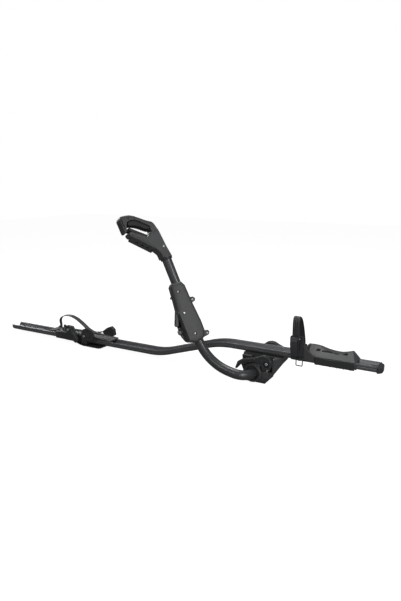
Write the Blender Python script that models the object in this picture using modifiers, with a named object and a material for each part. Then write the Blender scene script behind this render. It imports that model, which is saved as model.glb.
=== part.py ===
"""Upright roof carrier for one bicycle: a wheel rail with two wheel holders, a foot for each crossbar,
and a pivoting tube arm whose claw grips the bicycle's frame.

Frame: metres, +Z up. The origin is on the front foot's underside, under the rail's centre line, where the
foot rests on the front crossbar. +X runs along the rail towards the front wheel and +Y crosses the rail,
away from the arm.
"""

import math

import bmesh
import bpy
from mathutils import Matrix, Quaternion, Vector

# ---------------------------------------------------------------- driving dimensions
GAP = 0.0003  # clearance between pieces that touch

RAIL_REAR = -1.090
RAIL_FRONT = 0.345
RAIL_HALF = 0.0245  # half width
RAIL_HEIGHT = 0.0195
RAIL_LOW = 0.0100  # height of the rail's underside over the rear crossbar
RAIL_HIGH = 0.0825  # and over the front crossbar
RAIL_FLOOR = 0.0075  # floor of the tyre channel above the underside
BEND_REAR = -0.3749  # corners of the rail's S-bend, before rounding
BEND_FRONT = -0.1451
BEND_RADIUS = 0.280
SLOT_HALF = 0.0035  # T-slot under the rail
SLOT_WIDE = 0.0066
SLOT_LIP = 0.0018
SLOT_TOP = 0.0052
NOSE_FRONT = 0.360

FOOT_NEAR = -0.053  # near and far faces of the front foot, and the far edge of its pad
FOOT_FAR = 0.044
FOOT_PAD_FAR = 0.020
PAD_THICK = 0.004
PIVOT = Vector((-0.012, 0.0, 0.0310))  # arm pivot, an axis along Y
BUSH_RADIUS = 0.0205
BOSS_RADIUS = 0.030
CAM = Vector((0.035, 0.0, 0.0670))  # cam lever's pivot, an axis along Y
ROD_X = 0.0305  # draw rod under the cam

ARM_PLANE = -0.110  # the tube's plane, beside the rail
TUBE_RADIUS = 0.015
TUBE_BORE = 0.0128
ARM_LEAN = math.radians(24.82)  # tilt of the straight tube towards the rear
ARM_START = Vector((-0.171, ARM_PLANE, 0.126))  # where the straight tube begins
LOWER_BEND = 0.150  # bend radii of the tube's centre line
END_BEND = 0.042
COLLAR_AT = 0.2734  # claw collar's place along the straight tube

HOUSING_TURN = math.radians(50.4)  # how far each front face turns from -Y about the tube
CLAW_TURN = math.radians(61.4)
HOUSING_HALF = 0.020  # half thickness
HOUSING_WALL = 0.003
CLAW_HALF = 0.018
HOOK_HALF = 0.0170
LEG_LEFT, LEG_RIGHT, LEG_HALF = -0.0150, -0.0010, 0.0095  # the hook's sliding leg
ROD_OFFSET = -0.0076  # the pull rod meets the leg beside the tube's axis
SEAM_AT = 0.0885  # where hook and claw body meet when the claw is closed

FRONT_REAR, FRONT_END = 0.134, 0.291  # front wheel cradle along X
FRONT_STRAP = (0.1035, 0.1240)
BUCKLE_PIN = Vector((0.0, -0.0430, 0.1545))
PAWL_PIN = Vector((0.0, -0.0420, 0.1385))
BAIL_PIN = Vector((0.0, -0.0440, 0.0933))

REAR_REAR, REAR_END = -0.896, -0.588  # rear wheel cradle along X
REAR_STRAP_PATH = (  # centre line of the rear strap, from its far lug to its free end
    (-0.8640, 0.0215, 0.0368),
    (-0.8648, 0.0218, 0.0480),
    (-0.8656, 0.0210, 0.0624),
    (-0.8602, 0.0180, 0.0740),
    (-0.8451, 0.0130, 0.0860),
    (-0.8197, 0.0060, 0.0950),
    (-0.7890, -0.0020, 0.0990),
    (-0.7569, -0.0100, 0.0960),
    (-0.7257, -0.0180, 0.0870),
    (-0.7008, -0.0250, 0.0775),
    (-0.6805, -0.0300, 0.0690),
    (-0.6505, -0.0350, 0.0620),
    (-0.6214, -0.0360, 0.0665),
    (-0.6060, -0.0360, 0.0705),
)
STRAP_HALF = 0.010
STRAP_THICK = 0.0022
REAR_CAM = Vector((-0.761, 0.0, 0.0610))
TAB_PIN = Vector((-0.668, 0.0, 0.0420))
STRIP_REAR, STRIP_FRONT = -0.745, -0.622  # rear foot's strip along X
STRIP_HALF = 0.038

# ---------------------------------------------------------------- scene and helpers


def clear_scene():
    for old in list(bpy.data.objects):
        bpy.data.objects.remove(old, do_unlink=True)


def make_collection(name):
    collection = bpy.data.collections.new(name)
    bpy.context.scene.collection.children.link(collection)
    return collection


def make_material(name, grey, roughness, metallic):
    """A Principled material in a near-neutral colour; grey is a level or an (r, g, b)."""
    material = bpy.data.materials.new(name)
    material.use_nodes = True
    shader = material.node_tree.nodes["Principled BSDF"]
    colour = grey if isinstance(grey, tuple) else (grey, grey, grey)
    shader.inputs["Base Color"].default_value = (*colour, 1.0)
    shader.inputs["Roughness"].default_value = roughness
    shader.inputs["Metallic"].default_value = metallic
    return material


clear_scene()
PARTS = make_collection("bicycle_roof_carrier")
CUTTERS = make_collection("cutters")

ALUMINIUM = make_material("anodised_rail", 0.085, 0.45, 0.8)
TUBE_PAINT = make_material("painted_tube", 0.065, 0.38, 0.3)
PLASTIC = make_material("moulded_plastic", 0.060, 0.55, 0.0)
DARK_PLASTIC = make_material("dark_plastic", 0.035, 0.50, 0.0)
RUBBER = make_material("rubber", 0.022, 0.75, 0.0)
STRAP_PLASTIC = make_material("strap_plastic", 0.030, 0.45, 0.0)
STEEL = make_material("bright_steel", 0.60, 0.28, 1.0)
BLACK_STEEL = make_material("black_steel", 0.030, 0.40, 0.9)

SIDE = Matrix(((1, 0, 0, 0), (0, 0, -1, 0), (0, 1, 0, 0), (0, 0, 0, 1)))  # outline in XZ, depth to -Y
CROSS = Matrix(((0, 0, 1, 0), (1, 0, 0, 0), (0, 1, 0, 0), (0, 0, 0, 1)))  # outline in YZ, depth to +X
PLAN = Matrix.Identity(4)  # outline in XY, depth to +Z


def arm_point(along):
    """A point on the straight tube's axis."""
    return ARM_START + along * Vector((-math.sin(ARM_LEAN), 0.0, math.cos(ARM_LEAN)))


def arm_frame(turn, along=0.0):
    """Local x to the right, y up the tube and z out of a front face turned about the tube from -Y."""
    up = Vector((-math.sin(ARM_LEAN), 0.0, math.cos(ARM_LEAN)))
    level = Vector((math.cos(ARM_LEAN), 0.0, math.sin(ARM_LEAN)))
    out = math.cos(turn) * Vector((0, -1, 0)) + math.sin(turn) * level
    right = up.cross(out)
    frame = Matrix((right, up, out)).transposed().to_4x4()
    frame.translation = arm_point(along)
    return frame


HOUSING = arm_frame(HOUSING_TURN)
CLAW = arm_frame(CLAW_TURN, COLLAR_AT)


def filleted(points, closed=True, step=math.radians(18)):
    """The points with each corner that has a radius made an arc: (x, y), (x, y, r) or (Vector, r)."""
    corners = []
    for point in points:
        if isinstance(point[0], Vector):
            corners.append((point[0], point[1]))
        else:
            corners.append((Vector((point[0], point[1], 0.0)), point[2] if len(point) > 2 else 0.0))
    result = []
    count = len(corners)
    for index, (corner, radius) in enumerate(corners):
        at_end = not closed and index in (0, count - 1)
        if at_end or radius <= 0.0:
            result.append(corner)
            continue
        arriving = (corner - corners[index - 1][0]).normalized()
        leaving = (corners[(index + 1) % count][0] - corner).normalized()
        turn = arriving.angle(leaving)
        axis = arriving.cross(leaving).normalized()
        tangent = radius * math.tan(turn / 2)
        first = corner - tangent * arriving
        centre = first + radius * axis.cross(arriving)
        pieces = max(1, math.ceil(turn / step))
        for piece in range(pieces + 1):
            turned = Quaternion(axis, turn * piece / pieces) @ (first - centre)
            result.append(centre + turned)
    return result


def link(name, mesh, material, frame, collection=None):
    item = bpy.data.objects.new(name, mesh)
    (collection or PARTS).objects.link(item)
    item.matrix_world = frame
    if material:
        mesh.materials.append(material)
    return item


def bevel(item, width, segments=2, angle=math.radians(35)):
    modifier = item.modifiers.new("Rounded edges", "BEVEL")
    modifier.width = width
    modifier.segments = segments
    modifier.limit_method = "ANGLE"
    modifier.angle_limit = angle
    return item


def smooth(item, angle=math.radians(35)):
    item.data.shade_smooth()
    item.data.set_sharp_from_angle(angle=angle)
    return item


def box(name, low, high, material, frame=PLAN, rounding=0.0, collection=None):
    low, high = Vector(low), Vector(high)
    mesh = bpy.data.meshes.new(name)
    shape = bmesh.new()
    bmesh.ops.create_cube(shape, size=1.0)
    bmesh.ops.scale(shape, vec=high - low, verts=shape.verts)
    shape.to_mesh(mesh)
    shape.free()
    item = link(name, mesh, material, frame @ Matrix.Translation((low + high) / 2), collection)
    if rounding:
        bevel(item, rounding)
    return item


def cylinder(name, start, end, radius, material, sides=24, frame=PLAN, far_radius=None, collection=None):
    """A cylinder, or a cone when far_radius is given, between two points of the frame."""
    start, end = Vector(start), Vector(end)
    mesh = bpy.data.meshes.new(name)
    shape = bmesh.new()
    bmesh.ops.create_cone(
        shape,
        cap_ends=True,
        segments=sides,
        radius1=radius,
        radius2=radius if far_radius is None else far_radius,
        depth=(end - start).length,
    )
    shape.to_mesh(mesh)
    shape.free()
    turn = (end - start).to_track_quat("Z", "Y").to_matrix().to_4x4()
    item = link(name, mesh, material, frame @ Matrix.Translation((start + end) / 2) @ turn, collection)
    return smooth(item)


def curve_mesh(name, curve):
    """The mesh of a curve, with its caps welded on."""
    holder = bpy.data.objects.new(name + "_guide", curve)
    bpy.context.scene.collection.objects.link(holder)
    graph = bpy.context.evaluated_depsgraph_get()
    mesh = bpy.data.meshes.new_from_object(holder.evaluated_get(graph))
    mesh.name = name
    shape = bmesh.new()
    shape.from_mesh(mesh)
    bmesh.ops.remove_doubles(shape, verts=shape.verts, dist=1e-6)
    bmesh.ops.recalc_face_normals(shape, faces=shape.faces)
    shape.to_mesh(mesh)
    shape.free()
    bpy.data.objects.remove(holder, do_unlink=True)
    return mesh


def add_spline(curve, points, cyclic):
    spline = curve.splines.new("POLY")
    spline.points.add(len(points) - 1)
    for target, point in zip(spline.points, points):
        target.co = (*point, 1.0)
    spline.use_cyclic_u = cyclic


def plate(name, outline, low, high, material, frame=PLAN, rounding=0.0, holes=(), collection=None):
    """A flat outline of the frame's XY plane, filled and made solid from depth low to depth high."""
    curve = bpy.data.curves.new(name, "CURVE")
    curve.dimensions = "2D"
    curve.fill_mode = "BOTH"
    curve.extrude = (high - low) / 2
    add_spline(curve, filleted(outline), True)
    for hole in holes:
        add_spline(curve, filleted(hole), True)
    mesh = curve_mesh(name, curve)
    mesh.transform(Matrix.Translation((0, 0, (low + high) / 2)))
    item = link(name, mesh, material, frame, collection)
    if rounding:
        bevel(item, rounding)
    return smooth(item)


def tube(name, path, radius, material, sides=20, cyclic=False, collection=None):
    curve = bpy.data.curves.new(name, "CURVE")
    curve.dimensions = "3D"
    curve.fill_mode = "FULL"
    curve.bevel_depth = radius
    curve.bevel_resolution = (sides - 4) // 2
    curve.use_fill_caps = not cyclic
    add_spline(curve, path, cyclic)
    return smooth(link(name, curve_mesh(name, curve), material, PLAN, collection))


def cutter_of(maker, *place, **options):
    """A hidden helper made by one of the shape functions."""
    helper = maker(*place, None, collection=CUTTERS, **options)
    helper.hide_render = True
    helper.display_type = "WIRE"
    return helper


def bore_along_y(name, centre, start, end, radius, sides=16):
    """A round helper along Y, about a centre's x and z, from y = start to y = end."""
    near, far = (centre.x, start, centre.z), (centre.x, end, centre.z)
    return cutter_of(cylinder, name, near, far, radius, sides=sides)


def bore_along_x(name, centre, start, end, radius, sides=16):
    """A round helper along X, about a centre's y and z, from x = start to x = end."""
    near, far = (start, centre.y, centre.z), (end, centre.y, centre.z)
    return cutter_of(cylinder, name, near, far, radius, sides=sides)


def bore_in(frame, name, start, end, radius, sides=24):
    """A round helper between two points of a frame."""
    return cutter_of(cylinder, name, start, end, radius, sides=sides, frame=frame)


def cut(item, helper):
    modifier = item.modifiers.new("Cut " + helper.name, "BOOLEAN")
    modifier.operation = "DIFFERENCE"
    modifier.solver = "MANIFOLD"
    modifier.object = helper
    return item


def join(item, helper):
    modifier = item.modifiers.new("Join " + helper.name, "BOOLEAN")
    modifier.operation = "UNION"
    modifier.solver = "MANIFOLD"
    modifier.object = helper
    return item


def set_origin(item, point):
    """Puts the object's origin on its joint's axis without moving its shape."""
    place = item.matrix_world.copy()
    place.translation = point
    item.data.transform(place.inverted() @ item.matrix_world)
    item.matrix_world = place
    return item


def ribbon(line, thickness):
    """The closed outline of a strap that follows a centre line in its own plane."""
    line = [Vector((x, y, 0.0)) for x, y in line]
    sides = ([], [])
    for index, point in enumerate(line):
        before = line[max(index - 1, 0)]
        after = line[min(index + 1, len(line) - 1)]
        ahead = (after - before).normalized()
        across = Vector((-ahead.y, ahead.x, 0.0)) * thickness / 2
        sides[0].append(point + across)
        sides[1].append(point - across)
    return [(p.x, p.y) for p in sides[0] + sides[1][::-1]]


def smooth_line(points, pieces=4):
    """Catmull-Rom curve through the points."""
    knots = [Vector((x, y, 0.0)) for x, y in points]
    knots = [2 * knots[0] - knots[1]] + knots + [2 * knots[-1] - knots[-2]]
    line = []
    for a, b, c, d in zip(knots, knots[1:], knots[2:], knots[3:]):
        for piece in range(pieces):
            t = piece / pieces
            point = 0.5 * (
                2 * b + (c - a) * t + (2 * a - 5 * b + 4 * c - d) * t * t + (3 * b - a - 3 * c + d) * t**3
            )
            line.append((point.x, point.y))
    line.append((knots[-2].x, knots[-2].y))
    return line


# ---------------------------------------------------------------- rail


def rail_profile():
    """Half of the section from the T-slot round the outside to the channel floor, mirrored."""
    half = [
        (SLOT_HALF, 0.0),
        (0.0170, 0.0),
        (RAIL_HALF - 0.0012, 0.0065),
        (RAIL_HALF - 0.0012, 0.0085),
        (RAIL_HALF, 0.0095),
        (RAIL_HALF, 0.0120),
        (RAIL_HALF - 0.0014, 0.0128),
        (RAIL_HALF - 0.0014, 0.0144),
        (RAIL_HALF, 0.0152),
        (RAIL_HALF, RAIL_HEIGHT - 0.0010),
        (RAIL_HALF - 0.0010, RAIL_HEIGHT),
        (RAIL_HALF - 0.0040, RAIL_HEIGHT),
        (0.0120, RAIL_FLOOR + 0.0012),
        (0.0095, RAIL_FLOOR),
    ]
    inner = [(SLOT_WIDE, SLOT_TOP), (SLOT_WIDE, SLOT_LIP), (SLOT_HALF, SLOT_LIP)]
    left = [(-x, y) for x, y in half]
    return half + left[::-1] + [(-x, y) for x, y in inner[::-1]] + inner


def make_rail():
    profile = bpy.data.curves.new("rail_section", "CURVE")
    profile.dimensions = "2D"
    add_spline(profile, [(x, y, 0.0) for x, y in rail_profile()], True)
    section = bpy.data.objects.new("rail_section", profile)
    CUTTERS.objects.link(section)
    section.hide_render = True
    section.display_type = "WIRE"
    path = filleted(
        [
            (Vector((RAIL_REAR, 0, RAIL_LOW)), 0),
            (Vector((BEND_REAR, 0, RAIL_LOW)), BEND_RADIUS),
            (Vector((BEND_FRONT, 0, RAIL_HIGH)), BEND_RADIUS),
            (Vector((RAIL_FRONT, 0, RAIL_HIGH)), 0),
        ],
        closed=False,
        step=math.radians(2.2),
    )
    curve = bpy.data.curves.new("wheel_rail", "CURVE")
    curve.dimensions = "3D"
    curve.bevel_mode = "OBJECT"
    curve.bevel_object = section
    curve.use_fill_caps = True
    curve.twist_mode = "Z_UP"
    add_spline(curve, path, False)
    return smooth(link("wheel_rail", curve_mesh("wheel_rail", curve), ALUMINIUM, PLAN), math.radians(20))


def make_nose_cap():
    wide = RAIL_HALF + 0.0006
    outline = [
        (RAIL_FRONT + GAP, -wide),
        (NOSE_FRONT - 0.009, -wide, 0.004),
        (NOSE_FRONT, -0.014, 0.005),
        (NOSE_FRONT, 0.010, 0.006),
        (NOSE_FRONT - 0.011, wide, 0.005),
        (RAIL_FRONT + GAP, wide),
    ]
    low, high = RAIL_HIGH - 0.0006, RAIL_HIGH + RAIL_HEIGHT + 0.0006
    cap = plate("rail_nose_cap", outline, low, high, DARK_PLASTIC, rounding=0.002)
    tongue_floor = RAIL_HIGH + RAIL_FLOOR + GAP
    tongue = cutter_of(
        box,
        "nose_tongue",
        (RAIL_FRONT - 0.018, -0.009, tongue_floor),
        (RAIL_FRONT + 0.004, 0.009, tongue_floor + 0.004),
    )
    return join(cap, tongue)


# ---------------------------------------------------------------- front foot


def make_foot():
    box("foot_pad", (-0.034, FOOT_NEAR, 0.0), (0.0285, FOOT_PAD_FAR, PAD_THICK), RUBBER, rounding=0.0008)
    top = RAIL_HIGH - GAP
    outline = [
        (-0.033, PAD_THICK + GAP, 0.003),
        (0.029, PAD_THICK + GAP, 0.003),
        (0.069, 0.0625, 0.010),
        (0.0725, top),
        (-0.055, top),
        (-0.052, 0.050, 0.008),
    ]
    body = plate("foot_body", outline, -FOOT_FAR, -FOOT_NEAR, PLASTIC, SIDE, rounding=0.0015)
    under = [
        (FOOT_PAD_FAR, -0.0050),
        (FOOT_PAD_FAR, 0.0450),
        (FOOT_FAR + 0.002, 0.0560),
        (FOOT_FAR + 0.020, 0.0560),
        (FOOT_FAR + 0.020, -0.0050),
    ]
    cut(body, cutter_of(plate, "foot_under", under, -0.100, 0.100, frame=CROSS))
    flank = [(0.0540, -0.0560), (0.0900, -0.0560), (0.0900, -0.0100), (0.0770, -0.0180)]
    cut(body, cutter_of(plate, "foot_flank", flank, -0.010, 0.100, frame=PLAN))
    recess = cutter_of(box, "foot_left_recess", (-0.070, -0.070, 0.054), (0.0125, -0.028, 0.090))
    pocket = cutter_of(box, "foot_cam_pocket", (0.012, -0.070, 0.037), (0.0510, -0.034, 0.090))
    bore = bore_along_y("foot_bore", PIVOT, -0.070, -0.0115, BUSH_RADIUS + GAP, 32)
    through = bore_along_y("foot_bolt_bore", PIVOT, -0.020, 0.060, 0.0046, 24)
    rod_bore = cutter_of(
        cylinder, "foot_rod_bore", (ROD_X, -0.0445, -0.01), (ROD_X, -0.0445, 0.060), 0.0040, sides=16
    )
    for helper in (recess, pocket, bore, through, rod_bore):
        cut(body, helper)
    cut(bpy.data.objects["foot_pad"], rod_bore)
    for x in (-0.030, 0.036):
        cut(body, cutter_of(cylinder, "foot_t_bore", (x, 0, 0.066), (x, 0, 0.090), 0.0032, sides=16))
        make_t_bolt("rail_t_bolt_rear" if x < 0 else "rail_t_bolt_front", x, RAIL_HIGH, 0.069)

    near, inner = Vector((PIVOT.x, -0.0625, PIVOT.z)), Vector((PIVOT.x, FOOT_NEAR - GAP, PIVOT.z))
    ring = cylinder("boss_ring", near, inner, BOSS_RADIUS, PLASTIC, sides=40)
    bevel(ring, 0.003, 3)
    cut(ring, bore_along_y("ring_bore", PIVOT, -0.070, -0.050, TUBE_RADIUS + 0.0006, 32))
    near, inner = Vector((PIVOT.x, FOOT_NEAR, PIVOT.z)), Vector((PIVOT.x, -0.0118, PIVOT.z))
    bush = cylinder("pivot_bushing", near, inner, BUSH_RADIUS, DARK_PLASTIC, sides=32)
    cut(bush, bore_along_y("bush_bore", PIVOT, -0.060, 0.0, TUBE_RADIUS + GAP, 32))
    near, inner = Vector((PIVOT.x, 0.0203, PIVOT.z)), Vector((PIVOT.x, 0.0218, PIVOT.z))
    washer = cylinder("pivot_washer", near, inner, 0.011, STEEL)
    cut(washer, bore_along_y("washer_bore", PIVOT, 0.015, 0.030, 0.0044))
    near, inner = Vector((PIVOT.x, 0.0221, PIVOT.z)), Vector((PIVOT.x, 0.0275, PIVOT.z))
    bolt = cylinder("pivot_bolt", near, inner, 0.0075, STEEL, sides=6)
    bevel(bolt, 0.0006)
    join(bolt, bore_along_y("bolt_shank", PIVOT, -0.0117, 0.0240, 0.0040))


def make_t_bolt(name, x, rail_z, low):
    """A bolt whose flat head slides in the T-slot under the rail."""
    head = box(
        name,
        (x - 0.006, -SLOT_WIDE + GAP, rail_z + SLOT_LIP + GAP),
        (x + 0.006, SLOT_WIDE - GAP, rail_z + SLOT_TOP - GAP),
        BLACK_STEEL,
    )
    top = rail_z + SLOT_LIP + 0.001
    shank = cutter_of(cylinder, name + "_shank", (x, 0, low), (x, 0, top), 0.0028, sides=16)
    return join(head, shank)


def make_cam_lever():
    outline = [
        (CAM.x - 0.0800, 0.0705, 0.003),
        (CAM.x - 0.0940, 0.0620, 0.003),
        (CAM.x - 0.1020, 0.0400, 0.002),
        (CAM.x - 0.0970, 0.0375, 0.002),
        (CAM.x - 0.0800, 0.0575, 0.006),
        (CAM.x - 0.0330, 0.0690, 0.020),
        (CAM.x - 0.0160, 0.0600, 0.006),
        (CAM.x - 0.0120, CAM.z - 0.0160, 0.012),
        (CAM.x + 0.0140, CAM.z - 0.0165, 0.012),
        (CAM.x + 0.0185, CAM.z + 0.0100, 0.014),
        (CAM.x - 0.0060, CAM.z + 0.0290, 0.014),
        (CAM.x - 0.0380, 0.0815, 0.025),
    ]
    lever = plate("cam_lever", outline, 0.0535, 0.0670, DARK_PLASTIC, SIDE, rounding=0.0025)
    cut(lever, bore_along_y("cam_recess", CAM, -0.0800, -0.0600, 0.0095, 28))
    cut(lever, bore_along_y("cam_hole", CAM, -0.0700, -0.0400, 0.0043, 20))
    set_origin(lever, Vector((CAM.x, 0.0, CAM.z)))
    shaft = cylinder("cam_bolt", (CAM.x, -0.0655, CAM.z), (CAM.x, -0.0605, CAM.z), 0.0052, STEEL)
    bevel(shaft, 0.0010)
    join(shaft, bore_along_y("cam_bolt_shank", CAM, -0.0625, -0.0343, 0.0039))
    cylinder("cam_detent_pin", (0.0385, -0.0530, 0.0468), (0.0385, -0.0343, 0.0468), 0.0024, STEEL, sides=16)
    stop = [
        (0.0130, 0.0380),
        (0.0255, 0.0380),
        (0.0215, 0.0465, 0.004),
        (0.0185, 0.0560, 0.004),
        (0.0130, 0.0560, 0.002),
    ]
    join(bpy.data.objects["foot_body"], cutter_of(plate, "cam_stop", stop, 0.0330, 0.0495, frame=SIDE))
    cylinder("draw_rod", (ROD_X, -0.0445, 0.0060), (ROD_X, -0.0445, 0.0620), 0.0036, STEEL, sides=16)


def make_far_cheek():
    """The clamp block on the rail's far side; its bolt cover stands above the rail."""
    outline = [
        (-0.014, 0.0830),
        (0.058, 0.0830),
        (0.058, 0.0920, 0.004),
        (0.046, 0.0980, 0.006),
        (0.035, 0.1025, 0.010),
        (0.024, 0.1085, 0.010),
        (0.012, 0.1098, 0.010),
        (-0.001, 0.1065, 0.008),
        (-0.012, 0.0980, 0.006),
    ]
    cheek = plate("far_cheek", outline, -0.0440, -0.0255, PLASTIC, SIDE, rounding=0.0025)
    cap = cylinder("cheek_knob", (0.009, 0.0443, 0.0950), (0.009, 0.0530, 0.0950), 0.0105, DARK_PLASTIC)
    bevel(cap, 0.0015)
    return cheek


# ---------------------------------------------------------------- front wheel cradle


def make_front_cradle():
    top = [
        (0.156, 0.1245),
        (0.175, 0.1225),
        (0.200, 0.1160),
        (0.232, 0.1130),
        (0.255, 0.1170),
        (0.268, 0.1215),
    ]
    dip = [(0.156, 0.1245, 0.006)] + smooth_line(top, 3)[1:-1] + [(0.2700, 0.1215, 0.004)]
    outline = (
        [(FRONT_REAR, 0.0840), (FRONT_REAR, 0.1235, 0.005)]
        + dip
        + [(0.2890, 0.1015, 0.002), (FRONT_END, 0.0995), (FRONT_END, 0.0840)]
    )
    body = plate("front_cradle", outline[::-1], -0.0300, 0.0295, PLASTIC, SIDE, rounding=0.0012)
    wide, rail_top = RAIL_HALF + GAP, RAIL_HIGH + RAIL_HEIGHT + GAP
    cut(body, cutter_of(box, "front_rail_room", (0.10, -wide, 0.070), (0.32, wide, rail_top)))
    slope = cutter_of(
        plate,
        "front_near_slope",
        [(-0.0340, 0.1030), (0.0265, 0.1255), (0.0265, 0.1500), (-0.0340, 0.1500)],
        0.1440,
        0.310,
        frame=CROSS,
    )
    cut(body, slope)
    for index, (start, end) in enumerate(((0.166, 0.178), (0.188, 0.221), (0.244, 0.258))):
        window = cutter_of(box, f"front_window_{index}", (start, -0.004, 0.100), (end, 0.007, 0.140))
        cut(body, window)
    fin = [
        (0.1385, 0.0900),
        (0.1385, 0.1480),
        (0.1415, 0.1370, 0.010),
        (0.1480, 0.1240, 0.020),
        (0.1570, 0.1140, 0.020),
        (0.1700, 0.1060),
        (0.1700, 0.0900),
    ]
    join(body, cutter_of(plate, "front_fin", fin[::-1], 0.0270, 0.0345, frame=SIDE))

    skirt = [
        (0.1715, 0.0815),
        (0.2860, 0.0815),
        (0.2860, 0.1000, 0.003),
        (0.2720, 0.1055, 0.01),
        (0.2450, 0.1035, 0.03),
        (0.2150, 0.1015, 0.03),
        (0.1715, 0.1050, 0.003),
    ]
    skirt_plate = plate("front_skirt", skirt, 0.0299, 0.0325, DARK_PLASTIC, SIDE, rounding=0.0005)
    bump = 0.0014
    for index in range(6):
        place = Vector((0.178 + 0.0195 * index, 0.0, 0.0817))
        join(skirt_plate, bore_along_y(f"skirt_bump_{index}", place, -0.0322, -0.0302, bump, 10))


def make_front_strap():
    line = smooth_line(
        [
            (-0.0360, 0.0990),
            (-0.0360, 0.1350),
            (-0.0365, 0.1700),
            (-0.0360, 0.2020),
            (-0.0300, 0.2150),
            (-0.0190, 0.2140),
            (-0.0060, 0.2030),
            (0.0070, 0.1820),
            (0.0190, 0.1560),
            (0.0280, 0.1300),
            (0.0320, 0.1080),
        ],
        3,
    )
    plate("front_strap", ribbon(line, STRAP_THICK), *FRONT_STRAP, STRAP_PLASTIC, CROSS)

    left, right = FRONT_STRAP
    low, high = (0.1005, -0.0345, 0.0860), (0.1380, -0.0303, 0.1600)
    base = box("front_buckle_base", low, high, DARK_PLASTIC, rounding=0.0008)
    for index, x in enumerate((left - 0.0027, right + 0.0005)):
        cheek = [(-0.0480, 0.1330, 0.003), (-0.0330, 0.1270), (-0.0330, 0.1600), (-0.0480, 0.1600, 0.004)]
        join(base, cutter_of(plate, f"buckle_cheek_{index}", cheek, x, x + 0.0022, frame=CROSS))
    lug = [(-0.0475, 0.0895, 0.002), (-0.0330, 0.0880), (-0.0330, 0.0990), (-0.0475, 0.0975, 0.002)]
    join(base, cutter_of(plate, "bail_lug", lug, 0.1268, 0.1338, frame=CROSS))
    for name, pin, radius in (("buckle_pin", BUCKLE_PIN, 0.0018), ("pawl_pin", PAWL_PIN, 0.0015)):
        cut(base, bore_along_x(name + "_hole", pin, 0.095, 0.135, radius + GAP))
    cut(base, bore_along_x("bail_hole", BAIL_PIN, 0.120, 0.140, 0.0017))

    cylinder("front_lever_pin", (0.0995, *BUCKLE_PIN.yz), (0.1300, *BUCKLE_PIN.yz), 0.0018, STEEL, sides=16)
    start, end = (left + 0.0006, *PAWL_PIN.yz), (right - 0.0006, *PAWL_PIN.yz)
    pawl = cylinder("front_pawl", start, end, 0.0030, BLACK_STEEL, sides=16)
    join(pawl, bore_along_x("pawl_axle", PAWL_PIN, 0.0995, 0.1300, 0.0015))

    lever = [
        (-0.0462, 0.1585, 0.003),
        (-0.0398, 0.1585, 0.002),
        (-0.0396, 0.1480, 0.002),
        (-0.0470, 0.1430, 0.004),
        (-0.0440, 0.1200, 0.02),
        (-0.0400, 0.1010, 0.002),
        (-0.0440, 0.0990, 0.002),
        (-0.0560, 0.1280, 0.02),
        (-0.0545, 0.1480, 0.006),
    ]
    low, high = left + GAP, right - GAP
    lever_item = plate("front_buckle_lever", lever, low, high, DARK_PLASTIC, CROSS, rounding=0.0010)
    cut(lever_item, bore_along_x("lever_hole", BUCKLE_PIN, 0.095, 0.135, 0.0018 + GAP))
    set_origin(lever_item, Vector((0.114, *BUCKLE_PIN.yz)))

    wire = 0.0012
    corner = 0.0025
    loop = filleted(
        [
            (Vector((0.1205, BAIL_PIN.y, BAIL_PIN.z)), corner),
            (Vector((0.1395, BAIL_PIN.y, BAIL_PIN.z)), corner),
            (Vector((0.1395, BAIL_PIN.y, 0.0740)), corner),
            (Vector((0.1205, BAIL_PIN.y, 0.0740)), corner),
        ],
        step=math.radians(23),
    )
    bail = tube("front_bail", loop, wire, BLACK_STEEL, sides=10, cyclic=True)
    set_origin(bail, Vector((0.130, *BAIL_PIN.yz)))

    anchor = [
        (0.0303, 0.0900),
        (0.0380, 0.0900, 0.002),
        (0.0380, 0.1180, 0.003),
        (0.0345, 0.1180),
        (0.0335, 0.1050),
        (0.0303, 0.1050),
    ]
    low, high = left - 0.003, right + 0.003
    plate("front_strap_anchor", anchor, low, high, DARK_PLASTIC, CROSS, rounding=0.0006)


# ---------------------------------------------------------------- rear wheel cradle


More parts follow.
